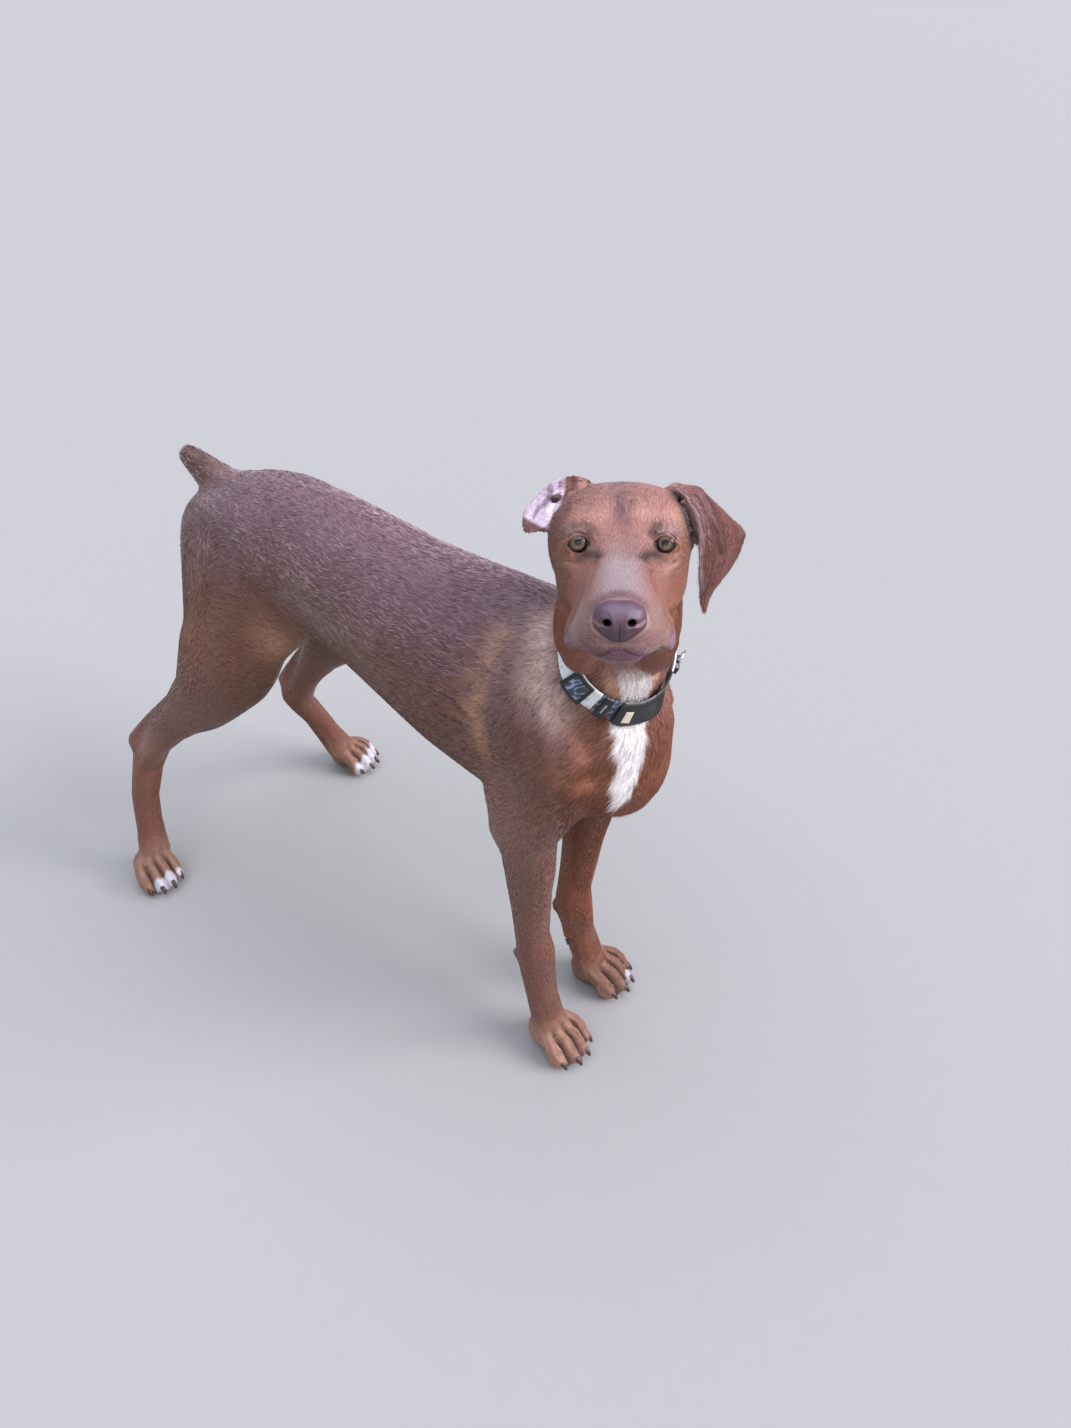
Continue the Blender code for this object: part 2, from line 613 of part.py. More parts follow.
def trimmed(obj, place, normal, closed=True):
    """Cuts away what lies on the far side of a plane, and closes the cut flat."""
    bm = bmesh.new()
    bm.from_mesh(obj.data)
    everything = bm.verts[:] + bm.edges[:] + bm.faces[:]
    bmesh.ops.bisect_plane(
        bm, geom=everything, dist=1e-6, plane_co=place, plane_no=normal, clear_outer=True,
    )
    if closed:
        rims = [edge for edge in bm.edges if edge.is_boundary and on_plane(edge, place, normal)]
        bmesh.ops.holes_fill(bm, edges=rims, sides=0)
        bmesh.ops.triangulate(bm, faces=[face for face in bm.faces if len(face.verts) > 4])
    bm.to_mesh(obj.data)
    bm.free()
    return obj


def on_plane(edge, place, normal):
    """Whether both ends of an edge lie on a plane."""
    return all(abs((v.co - Vector(place)).dot(normal)) < 1e-5 for v in edge.verts)


def parted(obj, near_name, far_name, place, normal, gap=CUT_GAP):
    """Two objects out of one, either side of a plane, a thin gap apart.

    With a gap below 0 both keep what lies near the plane, and the cuts stay open.
    """
    place, normal = Vector(place), Vector(normal).normalized()
    far = copied(obj, far_name)
    near = obj
    near.name = near_name
    trimmed(near, place - normal * gap / 2, normal, closed=gap > 0)
    trimmed(far, place + normal * gap / 2, -normal, closed=gap > 0)
    return near, far


def thinned(obj, triangles):
    """Collapses a mesh to about this many triangles."""
    obj.data.calc_loop_triangles()
    thin = obj.modifiers.new("thin", "DECIMATE")
    thin.ratio = triangles / len(obj.data.loop_triangles)
    thin.use_collapse_triangulate = True
    apply_modifiers(obj)
    return obj


def islands(obj):
    """Splits an object into its loose pieces."""
    bpy.ops.object.select_all(action="DESELECT")
    obj.select_set(True)
    bpy.context.view_layer.objects.active = obj
    bpy.ops.mesh.separate(type="LOOSE")
    return list(bpy.context.selected_objects)


def largest_only(obj):
    """Keeps the biggest loose piece under the object's name."""
    name = obj.name
    pieces = islands(obj)
    pieces.sort(key=lambda piece: len(piece.data.vertices))
    for scrap in pieces[:-1]:
        bpy.data.objects.remove(scrap, do_unlink=True)
    pieces[-1].name = name
    return pieces[-1]


def swollen(obj, by):
    """A copy whose surface is moved out by a small distance."""
    twin = copied(obj, obj.name + "_swollen")
    normals = [v.normal.copy() for v in twin.data.vertices]
    for v, normal in zip(twin.data.vertices, normals):
        v.co += normal * by
    return twin


def boolean(obj, cutter, operation="DIFFERENCE"):
    """Applies a Boolean and removes the cutter."""
    cut = obj.modifiers.new("cut", "BOOLEAN")
    cut.operation = operation
    cut.object = cutter
    cut.solver = "EXACT"
    apply_modifiers(obj)
    bpy.data.objects.remove(cutter, do_unlink=True)
    return obj


def wedge(name, middle, sign, wall, reach, grow=0.0):
    """A block round one limb, whose inner wall leans out over the body."""
    top = wall[-1][1] + grow
    outline = [(x - grow, z) for x, z in wall[:-1]]
    outline += [(wall[-1][0] - grow, top), (OUTSIDE, top), (OUTSIDE, wall[0][1])]
    bm = bmesh.new()
    ends = []
    for y in (reach[0] - grow, reach[1] + grow):
        ends.append([bm.verts.new((middle + sign * x, y, z)) for x, z in outline])
        bm.faces.new(ends[-1])
    for j in range(len(outline)):
        k = (j + 1) % len(outline)
        bm.faces.new((ends[0][j], ends[0][k], ends[1][k], ends[1][j]))
    return new_object(name, bm)


def lifted_leg(body, leg, middle, wall, reach):
    """Parts one leg from the trunk along a leaning wall."""
    sign = side_of(leg)
    limb = copied(body, leg)
    boolean(limb, wedge("wedge", middle, sign, wall, reach), "INTERSECT")
    limb = largest_only(limb)
    boolean(body, wedge("wedge", middle, sign, wall, reach, grow=CUT_GAP))
    return limb


# ---------------------------------------------------------------- collar

class CollarLine:
    """The collar's course round the neck, as radii from a middle on a leaning plane."""

    def __init__(self, flesh):
        self.middle = Vector(COLLAR_MIDDLE)
        self.up = Vector(COLLAR_UP).normalized()
        front = Vector((0, -1, 0))
        self.ahead = (front - self.up * front.dot(self.up)).normalized()
        self.side = self.up.cross(self.ahead)
        tree = BVHTree.FromObject(flesh, bpy.context.evaluated_depsgraph_get())
        self.edges = [self.course(tree, level) for level in (-0.5, 0.5)]

    def course(self, tree, level):
        """Radii of the skin along one edge of the strap, evened out."""
        origin = self.middle + self.up * level * COLLAR_WIDTH
        radii = []
        for k in range(COLLAR_STEPS):
            hit = tree.ray_cast(origin, self.outward(360.0 * k / COLLAR_STEPS))
            radii.append(hit[3])
        evened = []
        for k in range(COLLAR_STEPS):
            near = [radii[(k + j) % COLLAR_STEPS] for j in range(-4, 5)]
            evened.append(max(sum(near) / len(near), radii[k]))
        return evened

    def outward(self, degrees):
        """Direction from the middle at an angle from the front, towards the dog's left."""
        turn = math.radians(degrees)
        return self.ahead * math.cos(turn) + self.side * math.sin(turn)

    def place(self, degrees, across, off):
        """A point at an angle, across the strap from -1 to 1, and off the skin."""
        k = (degrees % 360.0) / 360.0 * COLLAR_STEPS
        i, f = int(k), k - int(k)
        radii = []
        for edge in self.edges:
            a, b = edge[i % COLLAR_STEPS], edge[(i + 1) % COLLAR_STEPS]
            radii.append(a + (b - a) * f)
        share = (across + 1) / 2
        radius = radii[0] + (radii[1] - radii[0]) * share + off
        height = self.up * across * COLLAR_WIDTH / 2
        return self.middle + height + self.outward(degrees) * radius


def band(name, line, start, end, inner, outer, reach=1.0):
    """A closed strip of the collar between two angles, two offsets and both edges.

    All bands bend at the same angles and split their sides the same way, so that a
    sleeve fits the strap inside it.
    """
    bends = range(math.floor(start / BAND_STEP) + 1, math.ceil(end / BAND_STEP))
    angles = [start] + [k * BAND_STEP for k in bends] + [end]
    corners = ((-reach, inner), (reach, inner), (reach, outer), (-reach, outer))
    bm = bmesh.new()
    rows = []
    for degrees in angles:
        rows.append([bm.verts.new(line.place(degrees, *corner)) for corner in corners])
    for low, high in zip(rows, rows[1:]):
        for j in range(4):
            k = (j + 1) % 4
            bm.faces.new((low[j], low[k], high[k]))
            bm.faces.new((low[j], high[k], high[j]))
    bm.faces.new(rows[0])
    bm.faces.new(rows[-1])
    return new_object(name, bm)


def bend_before(degrees):
    """The last bend of the collar's bands before an angle."""
    return (math.ceil(degrees / BAND_STEP) - 1) * BAND_STEP


def bend_after(degrees):
    """The first bend of the collar's bands after an angle."""
    return (math.floor(degrees / BAND_STEP) + 1) * BAND_STEP


def sleeve(name, line, start, end, wrap, hole_start, hole_end, hole):
    """A piece of the collar that the strap runs into or through."""
    piece = band(name, line, start, end, **wrap)
    return boolean(piece, band("hole", line, hole_start, hole_end, **hole))


def collar(flesh):
    """Webbing strap with its slider, keeper, side-release buckle, and D-ring in its loop."""
    line = CollarLine(flesh)
    inner, outer = COLLAR_OFF, COLLAR_OFF + COLLAR_THICKNESS
    first, last = BUCKLE_SPAN
    seam = (first + last) / 2
    band("collar_strap", line, last - PRONG_DEPTH, first + PRONG_DEPTH + 360, inner, outer)
    hole = dict(inner=inner - CLEARANCE, outer=outer + CLEARANCE, reach=1.04)
    wrap = dict(inner=inner - SLEEVE_WALL, outer=outer + 0.0022, reach=1.16)
    for name, (start, end) in (("slider", SLIDER_SPAN), ("keeper", KEEPER_SPAN)):
        sleeve("collar_" + name, line, start, end, wrap, bend_before(start), bend_after(end), hole)
    wrap.update(outer=outer + 0.0036, reach=1.22)
    into = PRONG_DEPTH + 0.5
    sleeve(
        "collar_buckle_socket", line, first, seam - 0.15, wrap,
        bend_before(first), first + into, hole,
    )
    sleeve(
        "collar_buckle_prongs", line, seam + 0.15, last, wrap,
        last - into, bend_after(last), hole,
    )
    loop = band(
        "collar_ring_loop", line, RING_ANGLE - 6, RING_ANGLE + 6, outer + CLEARANCE,
        outer + CLEARANCE + 0.0056, reach=0.62,
    )
    boolean(loop, ring_wire("hole", line, outer, RING_WIRE / 2 + CLEARANCE))
    ring_wire("collar_d_ring", line, outer, RING_WIRE / 2)
    neck = bpy.data.objects["neck"]
    clear = dict(outer=outer + 0.02, reach=1.3)
    hard = (SLIDER_SPAN[0] - 1, last + 1)
    soft = (hard[1] - 1, hard[0] + 361)
    boolean(neck, band("pressed", line, *hard, inner - SLEEVE_WALL - CLEARANCE, **clear))
    boolean(neck, band("pressed", line, *soft, inner - CLEARANCE, **clear))
    largest_only(neck)


def ring_wire(name, line, outer, radius):
    """The D-ring as a closed wire: a bar across the strap and a bow that stands off it."""
    off = outer + CLEARANCE + RING_STAND_OFF
    low, high = (line.place(RING_ANGLE, side, off) for side in (-1.12, 1.12))
    bar = (low + high) / 2
    half = (high - low) / 2
    along = half.cross(line.outward(RING_ANGLE)).normalized()
    out = along.cross(half).normalized()
    bow = (out * 0.45 + along * RING_LEAN).normalized()
    points = [bar + half * t for t in (-1.0, -0.5, 0.0, 0.5, 1.0)]
    for k in range(1, 10):
        turn = math.pi * k / 10
        across = half * math.cos(turn) * 1.02
        points.append(bar + across + bow * RING_REACH * math.sin(turn) ** 0.7)
    curve = bpy.data.curves.new(name, "CURVE")
    curve.dimensions = "3D"
    curve.bevel_depth = radius
    curve.bevel_resolution = 1
    spline = curve.splines.new("POLY")
    spline.points.add(len(points) - 1)
    spline.use_cyclic_u = True
    for point, place in zip(spline.points, points):
        point.co = (*place, 1.0)
    guide = bpy.data.objects.new(name + "_curve", curve)
    bpy.context.scene.collection.objects.link(guide)
    graph = bpy.context.evaluated_depsgraph_get()
    mesh = bpy.data.meshes.new_from_object(guide.evaluated_get(graph))
    bpy.data.objects.remove(guide, do_unlink=True)
    wire = bpy.data.objects.new(name, mesh)
    bpy.context.scene.collection.objects.link(wire)
    return wire


# ---------------------------------------------------------------- assembly

def claw(name, frame, tip, length):
    """A short curved horn out of a toe's end, in the paw's frame."""
    piece = loft(name, (
        (tip + Vector((0, 0.003, 0.0050)), 0.0036, 0.0044),
        (tip + Vector((0, -0.005, 0.0040)), 0.0035, 0.0042),
        (tip + Vector((0, -0.005 - length * 0.5, 0.0015)), 0.0029, 0.0034),
        (tip + Vector((0, -0.005 - length, -0.0040)), 0.0013, 0.0015),
    ), around=6, steps=1)
    piece.data.transform(frame)
    return piece


def dewclaw(leg):
    """The claw of the small inner toe, pointing down."""
    toe = dew_toe_place(leg) + Vector((-0.002 * side_of(leg), -0.003, 0))
    return loft(leg + "_claw_dew", (
        (toe + Vector((0, 0.002, -0.002)), 0.0036, 0.0044),
        (toe + Vector((0, 0.001, -0.009)), 0.0034, 0.0042),
        (toe + Vector((0, 0.000, -0.014)), 0.0027, 0.0032),
        (toe + Vector((0, 0.002, -0.019)), 0.0012, 0.0014),
    ), around=6, steps=1)


def opened_eye(head_piece, which, sign):
    """Hollows the socket and the slit between the lids, and adds the ball."""
    ball = eyeball(which, sign)
    boolean(head_piece, swollen(ball, CLEARANCE))
    place = mirrored((0.0350, -0.004, 0.0004), sign)
    slit = blob("slit", place, (0.0096, 0.0120, 0.0078), (0, 0, 14 * sign), around=12)
    slit.data.transform(head_frame())
    boolean(head_piece, slit)
    return ball


def finished_head(head_piece):
    """Trims the head and adds its eyes, nose leather and ears."""
    place, normal = Vector(HEAD_CUT[0]), Vector(HEAD_CUT[1]).normalized()
    thinned(head_piece, HEAD_TRIANGLES)
    trimmed(head_piece, place + normal * CUT_GAP / 2, -normal)
    for which, sign in (("left", 1), ("right", -1)):
        opened_eye(head_piece, which, sign)
    nose = nose_leather()
    boolean(head_piece, swollen(nose, CLEARANCE))
    head_piece = largest_only(head_piece)
    for which, rows in (("left", LEFT_EAR_ROWS), ("right", RIGHT_EAR_ROWS)):
        flap = ear(which, rows)
        boolean(flap, swollen(head_piece, CLEARANCE))
        largest_only(flap)


def finished_body(body):
    """Trims the body and parts it into trunk, neck, tail and the lengths of each leg."""
    place, normal = Vector(HEAD_CUT[0]), Vector(HEAD_CUT[1]).normalized()
    thinned(body, BODY_TRIANGLES)
    trimmed(body, place - normal * CUT_GAP / 2, normal)
    trimmed(body, Vector((0, 0, PAW_LEVEL + CUT_GAP / 2)), Vector((0, 0, -1)))
    body, _ = parted(body, "body", "tail", *TAIL_CUT)
    body, neck = parted(body, "body", "neck", *NECK_CUT)
    largest_only(neck)
    down = (0, 0, -1)
    for leg, place in FORELEGS.items():
        limb = lifted_leg(body, leg, SHOULDER_MIDDLE, SHOULDER_WALL, SHOULDER_REACH)
        elbow, carpus = Vector(place["elbow"]), Vector(place["carpus"])
        _, lower = parted(limb, leg + "_shoulder", "limb", mix(elbow, carpus, 0.10), down)
        wrist = carpus + Vector((0, 0, 0.014))
        _, pastern = parted(lower, leg + "_forearm", leg + "_pastern", wrist, down)
        horn = dewclaw(leg)
        boolean(horn, swollen(pastern, CLEARANCE))
        largest_only(horn)
    for leg, place in HINDLEGS.items():
        limb = lifted_leg(body, leg, HIP_MIDDLE, HIP_WALL, HIP_REACH)
        stifle, hock = Vector(place["stifle"]), Vector(place["hock"])
        knee = stifle + Vector((0, 0.04, -0.045))
        _, lower = parted(limb, leg + "_thigh", "limb", knee, (0, 0.35, -0.94))
        heel = mix(stifle, hock, 0.90)
        parted(lower, leg + "_shank", leg + "_rear_pastern", heel, hock - stifle)
    body.name = "trunk"
    largest_only(body)


def finished_paws(paws):
    """Trims the four paws flat, top and bottom, and gives each its claws."""
    for piece in islands(paws):
        middle = sum((v.co for v in piece.data.vertices), Vector()) / len(piece.data.vertices)
        end = "front_" if middle.y < TRUNK_MIDDLE else "hind_"
        leg = end + ("left" if middle.x > 0 else "right")
        thinned(piece, PAW_TRIANGLES)
        trimmed(piece, Vector((0, 0, 0)), Vector((0, 0, -1)))
        trimmed(piece, Vector((0, 0, PAW_LEVEL - CUT_GAP / 2)), Vector((0, 0, 1)))
        piece.name = leg + "_paw"
        place = FORELEGS.get(leg) or HINDLEGS[leg]
        frame = paw_frame(place) @ Matrix.Scale(PAW_SCALES[leg.split("_")[0]], 4)
        for toe in range(4):
            horn = claw(f"{leg}_claw_{toe + 1}", frame, toe_line(toe)[2], CLAW_LENGTH)
            boolean(horn, swollen(piece, CLEARANCE))
            largest_only(horn)


# ---------------------------------------------------------------- finish

def material(name, colour, roughness, metallic=0.0):
    """A Principled material."""
    made = bpy.data.materials.new(name)
    made.use_nodes = True
    shader = made.node_tree.nodes["Principled BSDF"]
    shader.inputs["Base Color"].default_value = (*colour, 1.0)
    shader.inputs["Roughness"].default_value = roughness
    shader.inputs["Metallic"].default_value = metallic
    return made


def finishes():
    """Each material with the beginnings or ends of the names that wear it."""
    return (
        (material("iris", (0.30, 0.17, 0.06), 0.08), ("eye_",)),
        (material("nose_leather", (0.13, 0.055, 0.060), 0.42), ("nose",)),
        (material("claw_horn", (0.055, 0.035, 0.030), 0.40), ("_claw_",)),
        (material("nickel_steel", (0.56, 0.55, 0.53), 0.25, 1.0), ("d_ring",)),
        (material("woven_nylon", (0.45, 0.45, 0.44), 0.75), ("strap", "ring_loop")),
        (material("black_acetal", (0.012, 0.012, 0.014), 0.45), ("collar_",)),
        (material("red_brown_coat", (0.165, 0.058, 0.034), 0.55), ("",)),
    )


def finish_pieces():
    """Colours and smooths every piece, collects them, and sets the origin under the middle."""
    pieces = [obj for obj in bpy.data.objects if obj.type == "MESH"]
    low = [min(v.co[axis] for obj in pieces for v in obj.data.vertices) for axis in range(3)]
    high = [max(v.co[axis] for obj in pieces for v in obj.data.vertices) for axis in range(3)]
    shift = Vector((-(low[0] + high[0]) / 2, -(low[1] + high[1]) / 2, -low[2]))
    collection = bpy.data.collections.new("standing_dog")
    bpy.context.scene.collection.children.link(collection)
    choices = finishes()
    for obj in pieces:
        obj.data.transform(Matrix.Translation(shift))
        obj.data.materials.clear()
        obj.data.materials.append(next(m for m, keys in choices if any(k in obj.name for k in keys)))
        obj.data.shade_smooth()
        obj.data.set_sharp_from_angle(angle=SHARP_ANGLE)
        for old in list(obj.users_collection):
            old.objects.unlink(obj)
        collection.objects.link(obj)


def build_dog():
    """Models the flesh, parts it and adds what grows from it or is worn."""
    flesh = fused_flesh()
    collar_ground = copied(flesh, "collar_ground")
    body, head_piece = parted(flesh, "body", "head", *HEAD_CUT, gap=-2 * CUT_SPARE)
    body, paws = parted(body, "body", "paws", (0, 0, PAW_LEVEL), (0, 0, -1), gap=-2 * CUT_SPARE)
    finished_head(head_piece)
    finished_body(body)
    finished_paws(paws)
    collar(collar_ground)
    bpy.data.objects.remove(collar_ground, do_unlink=True)
    finish_pieces()


clear_scene()
build_dog()
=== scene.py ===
"""Looks of a standing young red-brown dog with a collar, as a still museum model.

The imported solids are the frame. One sculpted skin stands for the flesh nodes, a short
coat of mesh tufts lies on it, and eyes, nose leather, claws and collar are separate.
"""

from __future__ import annotations

import json
import logging
import math
from dataclasses import dataclass, field
from enum import Enum
from typing import Callable, Sequence

import bmesh
import bpy
import numpy as np
from mathutils import Matrix, Vector
from mathutils.bvhtree import BVHTree

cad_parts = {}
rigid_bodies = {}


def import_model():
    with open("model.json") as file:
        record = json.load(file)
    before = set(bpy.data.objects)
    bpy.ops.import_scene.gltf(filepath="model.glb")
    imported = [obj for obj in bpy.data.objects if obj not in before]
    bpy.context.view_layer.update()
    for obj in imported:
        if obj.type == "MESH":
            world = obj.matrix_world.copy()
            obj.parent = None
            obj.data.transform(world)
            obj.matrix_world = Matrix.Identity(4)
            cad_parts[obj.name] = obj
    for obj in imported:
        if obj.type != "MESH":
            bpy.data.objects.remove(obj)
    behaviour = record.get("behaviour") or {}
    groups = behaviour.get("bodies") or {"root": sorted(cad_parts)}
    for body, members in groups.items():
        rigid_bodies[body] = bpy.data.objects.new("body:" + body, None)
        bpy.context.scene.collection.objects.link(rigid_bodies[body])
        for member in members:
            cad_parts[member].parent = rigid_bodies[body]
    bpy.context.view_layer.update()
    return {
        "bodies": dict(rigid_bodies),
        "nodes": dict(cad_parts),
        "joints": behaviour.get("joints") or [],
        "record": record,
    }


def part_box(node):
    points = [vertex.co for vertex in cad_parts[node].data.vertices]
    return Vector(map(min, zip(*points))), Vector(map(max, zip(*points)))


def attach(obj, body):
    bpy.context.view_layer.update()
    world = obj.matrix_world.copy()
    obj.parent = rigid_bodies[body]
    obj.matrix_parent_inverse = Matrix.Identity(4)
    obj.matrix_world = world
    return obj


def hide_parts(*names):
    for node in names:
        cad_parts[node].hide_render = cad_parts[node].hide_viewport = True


LOG = logging.getLogger("dog")
Array = np.ndarray
Colour = tuple[float, float, float, float]
Place = tuple[float, float, float]
Path = tuple[Place, ...]
SEED = 7


# ---------------------------------------------------------------- small tools


def linear(code: str) -> Colour:
    """Scene-linear colour of an sRGB hex code."""
    shares = [int(code[i : i + 2], 16) / 255 for i in (1, 3, 5)]
    r, g, b = (c / 12.92 if c <= 0.04045 else ((c + 0.055) / 1.055) ** 2.4 for c in shares)
    return (r, g, b, 1.0)


def ramp(value: Array, low: float, high: float) -> Array:
    """0 below low, 1 above high and smooth between, either way round."""
    t = np.clip((value - low) / (high - low), 0.0, 1.0)
    return t * t * (3 - 2 * t)


def unit(vectors: Array) -> Array:
    """Vectors made one long."""
    return vectors / (np.linalg.norm(vectors, axis=-1, keepdims=True) + 1e-12)


def bell(points: Array, middle: Sequence[float], radii: Sequence[float]) -> Array:
    """1 at the middle of an oval patch, falling smoothly to nothing past its radii."""
    gap = (points - np.array(middle)) / np.array(radii)
    return np.exp(-(gap * gap).sum(1))


def folded(points: Array) -> Array:
    """Places of both sides, folded onto the left one."""
    return np.concatenate([np.abs(points[:, :1]), points[:, 1:]], 1)


def waves(points: Array, size: float, seed: int, layers: int = 5) -> Array:
    """Smooth irregular values about 0, from sums of sines with the given feature size."""
    rng = np.random.default_rng(seed)
    total = np.zeros(len(points))
    for _ in range(layers):
        way = unit(rng.normal(size=3)) * (2 * math.pi / size) * rng.uniform(0.6, 1.5)
        total += np.sin(points @ way + rng.uniform(0, 6.28))
    return total / math.sqrt(layers)


def path_gap(points: Array, path: Sequence[Sequence[float]]) -> tuple[Array, Array]:
    """Distance of each point to a path, and how far along the path, from 0 to 1."""
    line = np.array(path, float)
    best = np.full(len(points), 1e9)
    share = np.zeros(len(points))
    for k in range(len(line) - 1):
        a, b = line[k], line[k + 1]
        t = np.clip(((points - a) @ (b - a)) / ((b - a) @ (b - a)), 0, 1)
        gap = np.linalg.norm(points - (a + t[:, None] * (b - a)), axis=1)
        nearer = gap < best
        best[nearer] = gap[nearer]
        share[nearer] = (k + t[nearer]) / (len(line) - 1)
    return best, share


def fading(points: Array, path: Sequence[Sequence[float]], width: float, power: int = 2) -> Array:
    """1 along a path, falling smoothly to nothing past its width on each side."""
    gap, _ = path_gap(points, path)
    return np.exp(-((gap / width) ** power))


def read(items: bpy.types.bpy_prop_collection, key: str, width: int, kind: type = np.float32) -> Array:
    """A property of all of a mesh's vertices, faces or corners, one row to each."""
    flat = np.empty(len(items) * width, kind)
    items.foreach_get(key, flat)
    return flat.reshape(-1, width)


def write(items: bpy.types.bpy_prop_collection, key: str, values: Array, kind: type = np.float32) -> None:
    """Sets a property of all of a mesh's vertices, faces or corners."""
    items.foreach_set(key, values.astype(kind).ravel())


def painted(obj: bpy.types.Object, colours: Array) -> None:
    """Stores a colour for each vertex of a mesh as its markings."""
    layer = obj.data.color_attributes.new("markings", "FLOAT_COLOR", "POINT")
    write(layer.data, "color", colours)


def pointed(obj: bpy.types.Object, name: str, vectors: Array) -> None:
    """Stores a vector for each vertex of a mesh under a name."""
    layer = obj.data.attributes.new(name, "FLOAT_VECTOR", "POINT")
    write(layer.data, "vector", vectors)


def finished(pieces: Sequence[bpy.types.Object], material: bpy.types.Material) -> None:
    """Gives pieces their material."""
    for piece in pieces:
        piece.data.materials.append(material)


def select_only(*objs: bpy.types.Object) -> None:
    """Selects these objects alone, the first one active."""
    bpy.ops.object.select_all(action="DESELECT")
    for obj in objs:
        obj.select_set(True)
    bpy.context.view_layer.objects.active = objs[0]


def applied(obj: bpy.types.Object, kind: str, **settings: object) -> bpy.types.Object:
    """Adds a modifier with its settings and applies it."""
    select_only(obj)
    modifier = obj.modifiers.new(kind.lower(), kind)
    for key, value in settings.items():
        setattr(modifier, key, value)
    bpy.ops.object.modifier_apply(modifier=modifier.name)
    return obj


def edited(work: Callable[..., object], **settings: object) -> None:
    """Runs one operator of edit mode on what is selected of the active mesh."""
    bpy.ops.object.mode_set(mode="EDIT")
    work(**settings)
    bpy.ops.object.mode_set(mode="OBJECT")


def points_of(obj: bpy.types.Object) -> Array:
    """Places of a mesh's vertices."""
    return read(obj.data.vertices, "co", 3).astype(float)


def normals_of(obj: bpy.types.Object) -> Array:
    """Outward directions at a mesh's vertices."""
    return read(obj.data.vertices, "normal", 3).astype(float)


def place_points(obj: bpy.types.Object, points: Array) -> None:
    """Moves a mesh's vertices to new places."""
    write(obj.data.vertices, "co", points)
    obj.data.update()


def mesh_object(name: str, points: Array, faces: Array) -> bpy.types.Object:
    """A mesh from points and triangles."""
    mesh = bpy.data.meshes.new(name)
    mesh.vertices.add(len(points))
    write(mesh.vertices, "co", points)
    mesh.loops.add(faces.size)
    write(mesh.loops, "vertex_index", faces, np.int32)
    mesh.polygons.add(len(faces))
    write(mesh.polygons, "loop_start", np.arange(0, faces.size, 3), np.int32)
    mesh.update()
    obj = bpy.data.objects.new(name, mesh)
    bpy.context.scene.collection.objects.link(obj)
    return obj


def merged_copy(node: bpy.types.Object, swell: float = 0.0) -> bmesh.types.BMesh:
    """A welded copy of a solid's mesh, swollen along its normals."""
    bm = bmesh.new()
    bm.from_mesh(node.data)
    bmesh.ops.remove_doubles(bm, verts=bm.verts, dist=1e-5)
    bmesh.ops.recalc_face_normals(bm, faces=bm.faces)
    bm.normal_update()
    if swell:
        for vert in bm.verts:
            vert.co += vert.normal * swell
    return bm


def object_of(name: str, bm: bmesh.types.BMesh) -> bpy.types.Object:
    """An object from a bmesh, which is freed."""
    mesh = bpy.data.meshes.new(name)
    bm.to_mesh(mesh)
    bm.free()
    obj = bpy.data.objects.new(name, mesh)
    bpy.context.scene.collection.objects.link(obj)
    return obj


def smooth_shaded(obj: bpy.types.Object, degrees: float) -> bpy.types.Object:
    """Shades an object smooth but for its sharp edges."""
    select_only(obj)
    bpy.ops.object.shade_smooth_by_angle(angle=math.radians(degrees))
    return obj


# ---------------------------------------------------------------- finishes


